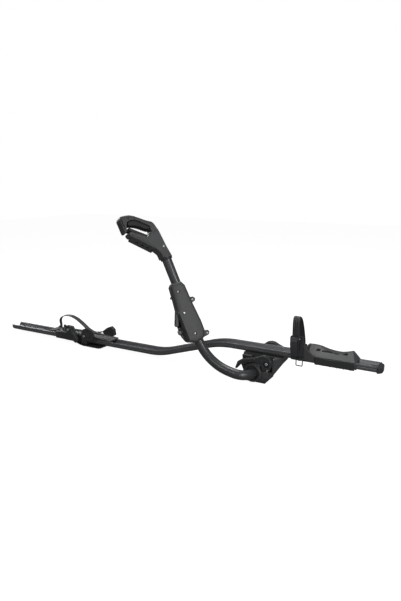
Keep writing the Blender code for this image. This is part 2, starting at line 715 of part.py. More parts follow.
def make_rear_cradle():
    """A saddle over the rail, with a shorter near wall and a lug on its far wall that holds the strap."""
    top = [(-0.868, 0.0355), (-0.800, 0.0390), (-0.745, 0.0400), (-0.690, 0.0400), (-0.640, 0.0375)]
    outline = [
        (REAR_REAR, 0.0108),
        (REAR_REAR, 0.0320, 0.002),
        *top,
        (REAR_END, 0.0335),
        (REAR_END, 0.0300),
        (-0.640, 0.0108),
    ]
    body = plate("rear_cradle", outline[::-1], -0.0295, 0.0295, PLASTIC, SIDE, rounding=0.0012)
    wide, rail_top = RAIL_HALF + GAP, RAIL_LOW + RAIL_HEIGHT + GAP
    cut(body, cutter_of(box, "rear_rail_room", (-0.93, -wide, 0.0), (-0.55, wide, rail_top)))
    cut(body, cutter_of(box, "rear_near_end", (-0.93, -0.0350, 0.0), (-0.846, -0.0195, 0.060)))
    cut(body, cutter_of(box, "rear_near_front", (-0.690, -0.0350, 0.0), (-0.55, -RAIL_HALF, 0.060)))
    valley = [(-0.0150, 0.060), (-0.0150, 0.0370), (0.0, 0.0318), (0.0150, 0.0370), (0.0150, 0.060)]
    cut(body, cutter_of(plate, "rear_valley", valley, -0.8580, -0.560, frame=CROSS))

    lug = [
        (-0.8940, 0.0130),
        (-0.8300, 0.0130),
        (-0.8360, 0.0360, 0.010),
        (-0.8520, 0.0470, 0.004),
        (-0.8710, 0.0470, 0.004),
        (-0.8940, 0.0310, 0.004),
    ]
    join(body, cutter_of(plate, "rear_strap_lug", lug, -0.0335, -0.0270, frame=SIDE))
    cut(body, cutter_of(box, "rear_strap_notch", (-0.8720, 0.0080, 0.0352), (-0.8575, 0.0400, 0.0600)))
    start, end = (-0.8500, 0.0338, 0.0360), (-0.8500, 0.0365, 0.0360)
    screw = cylinder("rear_lug_screw", start, end, 0.0045, STEEL, sides=20)
    bevel(screw, 0.0008)


def strap(name, stations, width, thickness, material):
    """A flat strap through (centre, direction of its width) stations."""
    shape = bmesh.new()
    rings = []
    centres = [Vector(centre) for centre, across in stations]
    for index, (centre, across) in enumerate(stations):
        before, after = centres[max(index - 1, 0)], centres[min(index + 1, len(centres) - 1)]
        ahead = (after - before).normalized()
        side = Vector(across)
        side = (side - side.dot(ahead) * ahead).normalized() * width / 2
        face = ahead.cross(side).normalized() * thickness / 2
        corners = (side + face, side - face, -side - face, -side + face)
        rings.append([shape.verts.new(centres[index] + corner) for corner in corners])
    for ring, following in zip(rings, rings[1:]):
        for corner in range(4):
            beside = (corner + 1) % 4
            shape.faces.new((ring[corner], ring[beside], following[beside], following[corner]))
    shape.faces.new(rings[0])
    shape.faces.new(rings[-1][::-1])
    bmesh.ops.recalc_face_normals(shape, faces=shape.faces)
    mesh = bpy.data.meshes.new(name)
    shape.to_mesh(mesh)
    shape.free()
    return smooth(link(name, mesh, material, PLAN))


def smooth_path(points, pieces=3):
    """Catmull-Rom curve through points of any size."""
    knots = [Vector(point) for point in points]
    knots = [2 * knots[0] - knots[1]] + knots + [2 * knots[-1] - knots[-2]]
    path = []
    for a, b, c, d in zip(knots, knots[1:], knots[2:], knots[3:]):
        for piece in range(pieces):
            t = piece / pieces
            square = (2 * a - 5 * b + 4 * c - d) * t * t
            path.append(0.5 * (2 * b + (c - a) * t + square + (3 * b - a - 3 * c + d) * t**3))
    path.append(knots[-2])
    return path


def make_rear_strap():
    """The strap leaves the far lug, crosses over the wheel's place and passes the near side's guide."""
    path = smooth_path(REAR_STRAP_PATH)
    stations = []
    for index, centre in enumerate(path):
        along = min(1.0, index / (len(path) * 0.5))
        stations.append((centre, (0.44 * (1 - along) + 0.05, -1.0, 0.0)))
    strap("rear_strap", stations, 2 * STRAP_HALF, STRAP_THICK, STRAP_PLASTIC)
    end = REAR_STRAP_PATH[-1]
    grip = [
        (end[0] + 0.0016, end[2] - 0.0022, 0.001),
        (end[0] + 0.0100, end[2] - 0.0100, 0.010),
        (-0.5640, 0.0585, 0.003),
        (-0.5500, 0.0660, 0.004),
        (-0.5530, 0.0870, 0.006),
        (-0.5660, 0.0965, 0.004),
        (-0.5850, 0.0890, 0.020),
        (end[0] + 0.0016, end[2] + 0.0040, 0.001),
    ]
    plate("rear_strap_grip", grip, -end[1] - 0.0060, -end[1] + 0.0060, STRAP_PLASTIC, SIDE, rounding=0.0020)


def make_rear_ratchet():
    """The strap guide on the near side: a round cover standing on a block bolted to the cradle's wall."""
    cover = [
        (-0.7005, 0.0430, 0.010),
        (-0.6930, 0.0700, 0.014),
        (-0.6700, 0.0790, 0.014),
        (-0.6440, 0.0700, 0.014),
        (-0.6350, 0.0480, 0.010),
        (-0.6500, 0.0300, 0.006),
        (-0.6920, 0.0280, 0.012),
    ]
    guide = plate("rear_strap_guide", cover[::-1], 0.0478, 0.0520, DARK_PLASTIC, SIDE, rounding=0.0012)
    block = cutter_of(box, "rear_guide_block", (-0.700, -0.0490, 0.0160), (-0.6765, -0.0298, 0.0520))
    join(guide, block)
    start, end = (-0.686, -0.0550, 0.0450), (-0.686, -0.0523, 0.0450)
    screw = cylinder("rear_guide_screw", start, end, 0.0040, STEEL, sides=20)
    bevel(screw, 0.0008)
    tab = [
        (-0.6680, 0.0485, 0.003),
        (-0.6750, 0.0420, 0.003),
        (-0.6620, 0.0230, 0.003),
        (-0.6560, 0.0250, 0.003),
        (-0.6610, 0.0430, 0.003),
    ]
    tab_item = plate("rear_release_tab", tab, 0.0400, 0.0470, DARK_PLASTIC, SIDE, rounding=0.0008)
    cut(tab_item, bore_along_y("tab_hole", TAB_PIN, -0.060, -0.030, 0.0018))
    set_origin(tab_item, Vector((TAB_PIN.x, -0.0435, TAB_PIN.z)))
    start, end = Vector((TAB_PIN.x, -0.0475, TAB_PIN.z)), Vector((TAB_PIN.x, -0.0303, TAB_PIN.z))
    cylinder("rear_tab_pin", start, end, 0.0015, STEEL, sides=16)

    lever = [
        (REAR_CAM.x - 0.0160, REAR_CAM.z + 0.0010, 0.012),
        (REAR_CAM.x - 0.0080, REAR_CAM.z + 0.0165, 0.012),
        (REAR_CAM.x + 0.0130, REAR_CAM.z + 0.0140, 0.012),
        (REAR_CAM.x + 0.0210, REAR_CAM.z - 0.0080, 0.012),
        (REAR_CAM.x + 0.0470, REAR_CAM.z - 0.0360, 0.008),
        (REAR_CAM.x + 0.0350, REAR_CAM.z - 0.0480, 0.004),
        (REAR_CAM.x + 0.0120, REAR_CAM.z - 0.0360, 0.012),
        (REAR_CAM.x + 0.0010, REAR_CAM.z - 0.0160, 0.010),
    ]
    lever_item = plate("rear_cam_lever", lever, 0.0425, 0.0545, DARK_PLASTIC, SIDE, rounding=0.0022)
    cut(lever_item, bore_along_y("rear_cam_recess", REAR_CAM, -0.0600, -0.0515, 0.0085, 24))
    cut(lever_item, bore_along_y("rear_cam_hole", REAR_CAM, -0.060, -0.030, 0.0036))
    set_origin(lever_item, Vector((REAR_CAM.x, -0.048, REAR_CAM.z)))
    start, end = Vector((REAR_CAM.x, -0.0550, REAR_CAM.z)), Vector((REAR_CAM.x, -0.0518, REAR_CAM.z))
    bolt = cylinder("rear_cam_bolt", start, end, 0.0058, STEEL)
    bevel(bolt, 0.0010)
    join(bolt, bore_along_y("rear_cam_shank", REAR_CAM, -0.0530, -0.0405, 0.0033))
    bracket = [
        (REAR_CAM.x - 0.0230, 0.0150),
        (REAR_CAM.x + 0.0300, 0.0150),
        (REAR_CAM.x + 0.0200, 0.0450, 0.006),
        (REAR_CAM.x + 0.0110, REAR_CAM.z + 0.0100, 0.008),
        (REAR_CAM.x - 0.0110, REAR_CAM.z + 0.0100, 0.008),
        (REAR_CAM.x - 0.0200, 0.0450, 0.006),
    ]
    bracket_item = plate("rear_cam_bracket", bracket, 0.0299, 0.0420, PLASTIC, SIDE, rounding=0.0015)
    cut(bracket_item, bore_along_y("rear_bracket_hole", REAR_CAM, -0.060, -0.0330, 0.0036))


def make_rear_foot():
    low = 0.0030
    strip = [
        (STRIP_REAR, -STRIP_HALF + 0.012, 0.004),
        (STRIP_REAR + 0.030, -STRIP_HALF, 0.010),
        (STRIP_FRONT, -STRIP_HALF, 0.006),
        (STRIP_FRONT, STRIP_HALF, 0.006),
        (STRIP_REAR + 0.030, STRIP_HALF, 0.010),
        (STRIP_REAR, STRIP_HALF - 0.012, 0.004),
    ]
    foot = plate("rear_clamp_strip", strip, low + GAP, RAIL_LOW - GAP, BLACK_STEEL, rounding=0.0008)
    rear, front = STRIP_REAR + 0.032, STRIP_FRONT - 0.012
    box("rear_seat_pad", (rear, -0.034, 0.0), (front, 0.034, low), RUBBER, rounding=0.0006)
    for name, x in (("rear_t_bolt_rear", -0.732), ("rear_t_bolt_front", -0.628)):
        cut(foot, cutter_of(cylinder, name + "_hole", (x, 0, -0.01), (x, 0, 0.012), 0.0031, sides=16))
        make_t_bolt(name, x, RAIL_LOW, 0.0005)


# ---------------------------------------------------------------- arm


def make_arm_tube():
    corner = arm_point(-LOWER_BEND * math.tan(math.radians(53.2) / 2))
    end_corner = Vector((PIVOT.x, ARM_PLANE, PIVOT.z))
    path = filleted(
        [
            (arm_point(COLLAR_AT + 0.010), 0),
            (corner, LOWER_BEND),
            (end_corner, END_BEND),
            (Vector((PIVOT.x, -0.0121, PIVOT.z)), 0),
        ],
        closed=False,
        step=math.radians(7),
    )
    arm = tube("arm_tube", path, TUBE_RADIUS, TUBE_PAINT, sides=24)
    cut(arm, bore_in(PLAN, "tube_bore", arm_point(0.045), arm_point(COLLAR_AT + 0.020), TUBE_BORE))
    slot = cutter_of(box, "tube_slot", (-0.0200, 0.072, -0.0042), (-0.0080, 0.092, 0.0042), frame=HOUSING)
    cut(arm, slot)
    set_origin(arm, Vector((PIVOT.x, 0.0, PIVOT.z)))


def housing_outline(inset=0.0):
    points = [
        (0.016, 0.001, 0.006),
        (0.027, 0.020, 0.012),
        (0.0275, 0.052, 0.03),
        (0.0225, 0.115, 0.03),
        (0.0205, 0.172, 0.006),
        (0.0120, 0.1885, 0.006),
        (-0.0190, 0.1895, 0.006),
        (-0.0260, 0.1810, 0.010),
        (-0.0300, 0.1400, 0.03),
        (-0.0340, 0.1080, 0.010),
        (-0.0430, 0.0880, 0.012),
        (-0.0460, 0.0600, 0.02),
        (-0.0455, 0.0280, 0.02),
        (-0.0380, 0.0060, 0.016),
        (-0.0120, -0.0050, 0.03),
        (0.0040, -0.0030, 0.012),
    ]
    centre = Vector((-0.010, 0.092))
    shrunk = []
    for x, y, radius in points:
        away = Vector((x, y)) - centre
        shrunk.append((x - inset * math.copysign(1.0, away.x), y - inset * (away.y / 0.097), radius))
    return shrunk


LUGS = ((0.0270, 0.1225), (0.0325, 0.0105))
LUG_OUTLINES = (
    (
        (0.0190, 0.1130),
        (0.0310, 0.1165, 0.004),
        (0.0338, 0.1225, 0.004),
        (0.0300, 0.1290, 0.004),
        (0.0190, 0.1330),
    ),
    (
        (0.0140, 0.0010),
        (0.0340, 0.0040, 0.004),
        (0.0392, 0.0100, 0.004),
        (0.0365, 0.0170, 0.004),
        (0.0240, 0.0220),
    ),
)
FRONT_SCREWS = ((-0.010, 0.160), (-0.016, 0.093), (-0.008, 0.023))
LOCK_CENTRE = Vector((-0.0450, 0.042, 0.002))
LOCK_TILT = math.radians(24)
TRIGGER_PIN = Vector((-0.0350, 0.0955))


def make_housing():
    lock_out = Vector((-math.cos(LOCK_TILT), 0, math.sin(LOCK_TILT)))
    halves = (("housing_front", GAP / 2, HOUSING_HALF), ("housing_rear", -HOUSING_HALF, -GAP / 2))
    for name, low, high in halves:
        shell = plate(name, housing_outline(), low, high, PLASTIC, HOUSING, rounding=0.0)
        ear_low, ear_high = (low, low + 0.006) if high > 0 else (high - 0.006, high)
        for index, lug in enumerate(LUG_OUTLINES):
            ear = cutter_of(plate, f"{name}_ear_{index}", lug, ear_low, ear_high, frame=HOUSING)
            join(shell, ear)
        cavity_low = low - 0.01 if high > 0 else low + HOUSING_WALL
        cavity_high = high - HOUSING_WALL if high > 0 else high + 0.01
        cavity = cutter_of(
            plate, name + "_cavity", housing_outline(HOUSING_WALL), cavity_low, cavity_high, frame=HOUSING
        )
        cut(shell, cavity)
        cut(shell, bore_in(HOUSING, name + "_bore", (0, -0.030, 0), (0, 0.210, 0), TUBE_RADIUS + 0.0005, 32))
        low_corner, high_corner = (-0.070, 0.0560, -0.0088), (-0.0300, 0.1010, 0.0088)
        cut(shell, cutter_of(box, name + "_trigger_slot", low_corner, high_corner, frame=HOUSING))
        start, end = LOCK_CENTRE - 0.020 * lock_out, LOCK_CENTRE + 0.010 * lock_out
        cut(shell, bore_in(HOUSING, name + "_lock_hole", start, end, 0.0098))


def make_arm_details():
    lock_out = Vector((-math.cos(LOCK_TILT), 0, math.sin(LOCK_TILT)))
    for index, (x, y) in enumerate(FRONT_SCREWS):
        screw = cylinder(
            f"housing_screw_{index + 1}",
            (x, y, HOUSING_HALF + GAP),
            (x, y, HOUSING_HALF + 0.0022),
            0.0036,
            STEEL,
            sides=16,
            frame=HOUSING,
        )
        bevel(screw, 0.0006)
    for index, (x, y) in enumerate(LUGS):
        screw = cylinder(
            f"lug_screw_{index + 1}", (x, y, 0.0065), (x, y, 0.0090), 0.0033, STEEL, sides=16, frame=HOUSING
        )
        bevel(screw, 0.0006)
    start, end = LOCK_CENTRE - 0.008 * lock_out, LOCK_CENTRE + 0.0045 * lock_out
    bezel = cylinder("lock_bezel", start, end, 0.0094, DARK_PLASTIC, sides=28, frame=HOUSING)
    bevel(bezel, 0.0010)
    start, end = LOCK_CENTRE - 0.020 * lock_out, LOCK_CENTRE + 0.020 * lock_out
    cut(bezel, bore_in(HOUSING, "bezel_bore", start, end, 0.0073))
    start, end = LOCK_CENTRE - 0.012 * lock_out, LOCK_CENTRE + 0.0050 * lock_out
    barrel = cylinder("lock_barrel", start, end, 0.0070, STEEL, sides=28, frame=HOUSING)
    bevel(barrel, 0.0008)
    lock_turn = lock_out.to_track_quat("Z", "Y").to_matrix().to_4x4()
    lock_frame = HOUSING @ Matrix.Translation(end) @ lock_turn
    low, high = (-0.0009, -0.0032, -0.003), (0.0009, 0.0032, 0.003)
    cut(barrel, cutter_of(box, "key_slot", low, high, frame=lock_frame))
    set_origin(barrel, HOUSING @ LOCK_CENTRE)

    trigger = [
        (-0.0330, 0.0990, 0.002),
        (-0.0385, 0.0995, 0.003),
        (-0.0450, 0.0860, 0.02),
        (-0.0530, 0.0680, 0.004),
        (-0.0510, 0.0610, 0.002),
        (-0.0440, 0.0620, 0.003),
        (-0.0380, 0.0780, 0.02),
        (-0.0310, 0.0930, 0.003),
    ]
    trigger_item = plate("trigger", trigger[::-1], -0.0082, 0.0082, DARK_PLASTIC, HOUSING, rounding=0.0010)
    start, end = (*TRIGGER_PIN, -0.02), (*TRIGGER_PIN, 0.02)
    cut(trigger_item, bore_in(HOUSING, "trigger_hole", start, end, 0.0015 + GAP, 16))
    set_origin(trigger_item, HOUSING @ Vector((*TRIGGER_PIN, 0.0)))
    start, end = (*TRIGGER_PIN, -0.0086), (*TRIGGER_PIN, 0.0086)
    cylinder("trigger_pin", start, end, 0.0015, STEEL, sides=16, frame=HOUSING)
    box("latch_pawl", (-0.0240, 0.0780, -0.0036), (-0.0124, 0.0860, 0.0036), BLACK_STEEL, HOUSING)


# ---------------------------------------------------------------- claw


def make_claw():
    body = [
        (0.0100, -0.0030),
        (0.0095, 0.0200, 0.020),
        (0.0040, 0.0760, 0.050),
        (0.0014, SEAM_AT),
        (-0.0212, SEAM_AT),
        (-0.0270, 0.0820, 0.008),
        (-0.0390, 0.0725, 0.006),
        (-0.0905, 0.1055, 0.003),
        (-0.0955, 0.0975, 0.004),
        (-0.0935, 0.0900, 0.006),
        (-0.0700, 0.0685, 0.03),
        (-0.0440, 0.0440, 0.03),
        (-0.0285, 0.0290, 0.020),
        (-0.0190, 0.0150, 0.010),
        (-0.0180, -0.0030),
    ]
    claw = plate("claw_body", body, -CLAW_HALF, CLAW_HALF, PLASTIC, CLAW, rounding=0.0035)
    neck = cutter_of(
        cylinder,
        "claw_neck",
        (0, -0.0040, 0),
        (0, 0.0340, 0),
        0.0198,
        sides=36,
        far_radius=0.0140,
        frame=CLAW,
    )
    join(claw, neck)
    cut(claw, bore_in(CLAW, "claw_tube_bore", (0, -0.020, 0), (0, 0.0130, 0), TUBE_RADIUS + 0.0005, 32))
    slot = cutter_of(
        box,
        "claw_leg_slot",
        (LEG_LEFT - 0.0004, 0.0120, -LEG_HALF - 0.0004),
        (LEG_RIGHT + 0.0004, 0.1200, LEG_HALF + 0.0004),
        frame=CLAW,
    )
    cut(claw, slot)
    edge = Vector((-0.0425, 0.0410, 0)).normalized()
    outward = Vector((edge.x, -edge.y, 0))
    for index, along in enumerate((0.006, 0.023, 0.041, 0.060)):
        centre = Vector((-0.0280, 0.0280, 0.0)) + edge * along
        start, end = centre - 0.007 * outward, centre + 0.020 * outward
        cut(claw, bore_in(CLAW, f"claw_hole_{index}", start, end, 0.0050, 16))

    seam = SEAM_AT + GAP
    hook = [
        (0.0014, seam),
        (-0.0030, 0.1060, 0.010),
        (-0.0080, 0.1140, 0.010),
        (-0.0250, 0.1230, 0.030),
        (-0.0580, 0.1455, 0.030),
        (-0.0730, 0.1520, 0.020),
        (-0.0890, 0.1535),
        (-0.1010, 0.1535, 0.006),
        (-0.1060, 0.1460, 0.006),
        (-0.1050, 0.1040, 0.003),
        (-0.0980, 0.1020, 0.003),
        (-0.0945, 0.1130, 0.006),
        (-0.0900, 0.1240, 0.006),
        (-0.0850, 0.1315, 0.006),
        (-0.0730, 0.1355, 0.010),
        (-0.0545, 0.1295, 0.030),
        (-0.0340, 0.1140, 0.030),
        (-0.0212, 0.1020, 0.003),
        (-0.0212, seam),
    ]
    hook_item = plate("claw_hook", hook, -HOOK_HALF, HOOK_HALF, PLASTIC, CLAW, rounding=0.0035)
    low, high = (LEG_LEFT, 0.0220, -LEG_HALF), (LEG_RIGHT, 0.0950, LEG_HALF)
    join(hook_item, cutter_of(box, "hook_leg", low, high, frame=CLAW))

    arch = [
        (-0.0842, 0.1308),
        (-0.0725, 0.1352),
        (-0.0545, 0.1291),
        (-0.0345, 0.1138),
        (-0.0216, 0.1018),
    ]
    grip = [
        (-0.0240, 0.0965),
        (-0.0345, 0.1030),
        (-0.0520, 0.1170),
        (-0.0690, 0.1260),
        (-0.0810, 0.1262),
    ]
    back = [(x - 0.0004, y - 0.0014) for x, y in smooth_line(arch, 3)]
    teeth = [(x, y - (0.0020 if index % 2 else 0.0)) for index, (x, y) in enumerate(smooth_line(grip, 5))]
    plate("hook_pad", back + teeth, -0.0130, 0.0130, RUBBER, CLAW)
    pad_line = [
        (-0.0400, 0.0742),
        (-0.0385, 0.0782, 0.0012),
        (-0.0912, 0.1122, 0.0012),
        (-0.0900, 0.1066),
    ]
    plate("jaw_pad", pad_line, -0.0140, 0.0140, RUBBER, CLAW)
    start, end = (0, -0.0090, 0), (0, -0.0043, 0)
    ring = cylinder("claw_collar", start, end, 0.0186, DARK_PLASTIC, sides=36, frame=CLAW)
    bevel(ring, 0.0010)
    cut(ring, bore_in(CLAW, "collar_bore", (0, -0.020, 0), (0, 0.010, 0), TUBE_RADIUS + 0.0003, 32))
    start, end = (ROD_OFFSET, -0.2050, 0), (ROD_OFFSET, 0.0217, 0)
    cylinder("pull_rod", start, end, 0.0042, STEEL, sides=16, frame=CLAW)
    start, end = (-0.002, 0.031, CLAW_HALF + GAP), (-0.002, 0.031, CLAW_HALF + 0.0022)
    screw = cylinder("claw_screw", start, end, 0.0036, STEEL, sides=16, frame=CLAW)
    bevel(screw, 0.0006)


make_rail()
make_nose_cap()
make_foot()
make_cam_lever()
make_far_cheek()
make_front_cradle()
make_front_strap()
make_rear_cradle()
make_rear_strap()
make_rear_ratchet()
make_rear_foot()
make_arm_tube()
make_housing()
make_arm_details()
make_claw()
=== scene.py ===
"""Looks of the bicycle roof carrier: a detailed surface and a procedural finish for every piece, with the
stage, the light and the camera."""

import math

import bmesh
import bpy
from mathutils import Matrix, Quaternion, Vector


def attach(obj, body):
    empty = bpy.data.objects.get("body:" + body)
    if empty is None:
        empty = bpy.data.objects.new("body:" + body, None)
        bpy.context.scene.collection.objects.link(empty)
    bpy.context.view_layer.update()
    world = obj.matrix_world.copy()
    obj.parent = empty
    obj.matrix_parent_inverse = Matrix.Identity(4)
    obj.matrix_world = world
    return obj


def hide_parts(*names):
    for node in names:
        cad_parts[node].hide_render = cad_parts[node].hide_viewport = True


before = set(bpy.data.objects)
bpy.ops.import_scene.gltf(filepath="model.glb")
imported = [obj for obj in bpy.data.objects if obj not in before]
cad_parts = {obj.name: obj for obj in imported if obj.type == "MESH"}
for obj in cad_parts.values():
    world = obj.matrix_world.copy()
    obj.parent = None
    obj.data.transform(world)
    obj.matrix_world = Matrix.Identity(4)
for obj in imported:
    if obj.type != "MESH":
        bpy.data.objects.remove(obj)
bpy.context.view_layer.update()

# ---------------------------------------------------------------- dimensions, in metres

GAP = 0.0003
RAIL_REAR, RAIL_FRONT = -1.090, 0.345
RAIL_HALF, RAIL_HEIGHT, RAIL_FLOOR = 0.0245, 0.0195, 0.0075
RAIL_LOW, RAIL_HIGH = 0.0100, 0.0825
BEND_REAR, BEND_FRONT, BEND_RADIUS = -0.3749, -0.1451, 0.280
SLOT_HALF, SLOT_WIDE, SLOT_LIP, SLOT_TOP = 0.0035, 0.0066, 0.0018, 0.0052
NOSE_FRONT = 0.360

FOOT_NEAR, FOOT_FAR, FOOT_PAD_FAR, PAD_THICK = -0.053, 0.044, 0.020, 0.004
PIVOT = Vector((-0.012, 0.0, 0.0310))
BUSH_RADIUS = 0.0205
CAM = Vector((0.035, 0.0, 0.0670))
ROD_X = 0.0305
FOOT_BOLTS = (-0.030, 0.036)

ARM_PLANE = -0.110
TUBE_RADIUS, TUBE_BORE = 0.015, 0.0128
ARM_LEAN = math.radians(24.82)
ARM_START = Vector((-0.171, ARM_PLANE, 0.126))
LOWER_BEND, END_BEND = 0.150, 0.042
LOWER_TURN = math.radians(53.2)
COLLAR_AT = 0.2734
HOUSING_TURN, CLAW_TURN = math.radians(50.4), math.radians(61.4)
HOUSING_HALF, CLAW_HALF, HOOK_HALF = 0.020, 0.018, 0.0170
LEG_LEFT, LEG_RIGHT, LEG_HALF = -0.0150, -0.0010, 0.0095
SEAM_AT = 0.0885

FRONT_REAR, FRONT_END = 0.134, 0.291
STRAP_LEFT, STRAP_RIGHT = 0.1035, 0.1240
STRAP_THICK = 0.0022
BUCKLE_PIN = Vector((0.0, -0.0430, 0.1545))
PAWL_PIN = Vector((0.0, -0.0420, 0.1385))
BAIL_PIN = Vector((0.0, -0.0440, 0.0933))

REAR_REAR, REAR_END = -0.896, -0.588
REAR_CAM = Vector((-0.761, 0.0, 0.0610))
TAB_PIN = Vector((-0.668, 0.0, 0.0420))
STRIP_REAR, STRIP_FRONT, STRIP_HALF = -0.745, -0.622, 0.038
STRIP_BOLTS = (-0.732, -0.628)

TRIGGER_PIN = Vector((-0.0350, 0.0955))
LOCK_CENTRE = Vector((-0.0450, 0.042, 0.002))
LATCH_LEAN = math.radians(24)
LOCK_OUT = Vector((-math.cos(LATCH_LEAN), 0.0, math.sin(LATCH_LEAN)))
LOCK_BORE = (LOCK_CENTRE - 0.020 * LOCK_OUT, LOCK_CENTRE + 0.012 * LOCK_OUT)
ROOT = "carrier"

SIDE = Matrix(((1, 0, 0, 0), (0, 0, -1, 0), (0, 1, 0, 0), (0, 0, 0, 1)))  # outline in XZ, depth to -Y
CROSS = Matrix(((0, 0, 1, 0), (1, 0, 0, 0), (0, 1, 0, 0), (0, 0, 0, 1)))  # outline in YZ, depth to +X
PLAN = Matrix.Identity(4)


def arm_point(along):
    """A point on the straight tube's axis."""
    return ARM_START + along * Vector((-math.sin(ARM_LEAN), 0.0, math.cos(ARM_LEAN)))


def arm_frame(turn, along=0.0):
    """Local x to the right, y up the tube and z out of a front face turned about the tube from -Y."""
    up = Vector((-math.sin(ARM_LEAN), 0.0, math.cos(ARM_LEAN)))
    level = Vector((math.cos(ARM_LEAN), 0.0, math.sin(ARM_LEAN)))
    out = math.cos(turn) * Vector((0, -1, 0)) + math.sin(turn) * level
    right = up.cross(out)
    placed = Matrix((right, up, out)).transposed().to_4x4()
    placed.translation = arm_point(along)
    return placed


HOUSING = arm_frame(HOUSING_TURN)
CLAW = arm_frame(CLAW_TURN, COLLAR_AT)

# ---------------------------------------------------------------- finishes


def add(tree, kind, **inputs):
    """A node with constant inputs; an underscore in an input's name stands for a space."""
    node = tree.nodes.new(kind)
    for name, value in inputs.items():
        node.inputs[name.replace("_", " ")].default_value = value
    return node


def noise(tree, vector, scale, detail=3.0):
    node = add(tree, "ShaderNodeTexNoise", Scale=scale, Detail=detail, Roughness=0.6)
    tree.links.new(vector, node.inputs["Vector"])
    return node.outputs["Fac"]


def ranged(tree, value, low, high, to_low, to_high):
    node = add(tree, "ShaderNodeMapRange", From_Min=low, From_Max=high, To_Min=to_low, To_Max=to_high)
    tree.links.new(value, node.inputs["Value"])
    return node.outputs["Result"]


def mixed(tree, factor, first, second):
    """A colour between two; each is a grey (r, g, b) or another node's colour output."""
    node = tree.nodes.new("ShaderNodeMix")
    node.data_type = "RGBA"
    tree.links.new(factor, node.inputs["Factor"])
    for socket, colour in ((node.inputs[6], first), (node.inputs[7], second)):
        if isinstance(colour, tuple):
            socket.default_value = (*colour, 1.0)
        else:
            tree.links.new(colour, socket)
    return node.outputs[2]


def scaled(colour, factor):
    return tuple(min(1.0, channel * factor) for channel in colour)


def make_finish(
    name,
    colour,
    roughness,
    metallic=0.0,
    mottle=0.10,
    broad=16.0,
    grain=1500.0,
    relief=0.00003,
    edge_wear_and_highlight=0.30,
    stretch=(1.0, 1.0, 1.0),
    by_length=False,
    coat=0.0,
):
    """A surface whose colour drifts, with edges made lighter as a painted highlight and as rubbed wear, and
    a grain in roughness and relief.

    stretch squeezes the grain along the axes: a low value draws it out. by_length lays it along a sweep."""
    material = bpy.data.materials.new(name)
    material.use_nodes = True
    tree = material.node_tree
    shader = tree.nodes["Principled BSDF"]
    shader.inputs["Metallic"].default_value = metallic
    shader.inputs["Coat Weight"].default_value = coat
    shader.inputs["Coat Roughness"].default_value = 0.25
    place = tree.nodes.new("ShaderNodeTexCoord")
    mapping = add(tree, "ShaderNodeMapping", Scale=stretch)
    tree.links.new(place.outputs["UV" if by_length else "Object"], mapping.inputs["Vector"])
    drift = noise(tree, place.outputs["Object"], broad, 4.0)
    fine = noise(tree, mapping.outputs["Vector"], grain, 2.0)
    body = mixed(tree, drift, scaled(colour, 1.0 - mottle), scaled(colour, 1.0 + mottle))
    speck = ranged(tree, fine, 0.35, 0.70, 0.0, 0.35)
    body = mixed(tree, speck, body, scaled(colour, 1.35))
    geometry = tree.nodes.new("ShaderNodeNewGeometry")
    # Pointiness lightens the edges towards a pale grey: a painted highlight along the edges, together with
    # rubbed wear.
    edge = ranged(tree, geometry.outputs["Pointiness"], 0.505, 0.560, 0.0, edge_wear_and_highlight)
    body = mixed(tree, edge, body, scaled(colour, 2.3))
    tree.links.new(body, shader.inputs["Base Color"])
    uneven = ranged(tree, fine, 0.3, 0.7, roughness - 0.05, roughness + 0.07)
    tree.links.new(uneven, shader.inputs["Roughness"])
    bump = add(tree, "ShaderNodeBump", Strength=1.0, Distance=relief)
    tree.links.new(fine, bump.inputs["Height"])
    tree.links.new(bump.outputs["Normal"], shader.inputs["Normal"])
    return material


FINISHES = {
    "anodised_rail": make_finish(
        "anodised_rail_finish",
        (0.120, 0.122, 0.127),
        0.40,
        metallic=0.55,
        mottle=0.06,
        grain=1.0,
        relief=0.00003,
        edge_wear_and_highlight=0.35,
        stretch=(3.0, 1400.0, 1.0),
        by_length=True,
    ),
    "painted_tube": make_finish(
        "powder_coat_finish",
        (0.050, 0.051, 0.054),
        0.36,
        metallic=0.25,
        grain=900.0,
        relief=0.00004,
        coat=0.15,
    ),
    "moulded_plastic": make_finish(
        "moulded_finish", (0.043, 0.044, 0.046), 0.50, mottle=0.12, grain=1300.0, relief=0.00006
    ),
    "dark_plastic": make_finish(
        "dark_moulded_finish", (0.026, 0.027, 0.029), 0.44, mottle=0.12, grain=1300.0, relief=0.00005
    ),
    "strap_plastic": make_finish(
        "strap_finish", (0.026, 0.027, 0.029), 0.42, mottle=0.14, grain=800.0, relief=0.00005, edge_wear_and_highlight=0.2
    ),
    "rubber": make_finish(
        "rubber_finish", (0.020, 0.020, 0.021), 0.72, mottle=0.18, grain=700.0, relief=0.00009
    ),
    "bright_steel": make_finish(
        "zinc_finish",
        (0.50, 0.50, 0.51),
        0.42,
        metallic=1.0,
        mottle=0.05,
        grain=600.0,
        relief=0.00001,
        edge_wear_and_highlight=0.1,
    ),
    "black_steel": make_finish(
        "black_steel_finish", (0.030, 0.030, 0.032), 0.36, metallic=0.6, grain=900.0, relief=0.00003
    ),
}

# ---------------------------------------------------------------- shape helpers


def corner_turn(points, index):
    """How far the outline turns at one of its corners."""
    corner = Vector(points[index][:2])
    arriving = corner - Vector(points[index - 1][:2])
    leaving = Vector(points[(index + 1) % len(points)][:2]) - corner
    return arriving.angle(leaving)


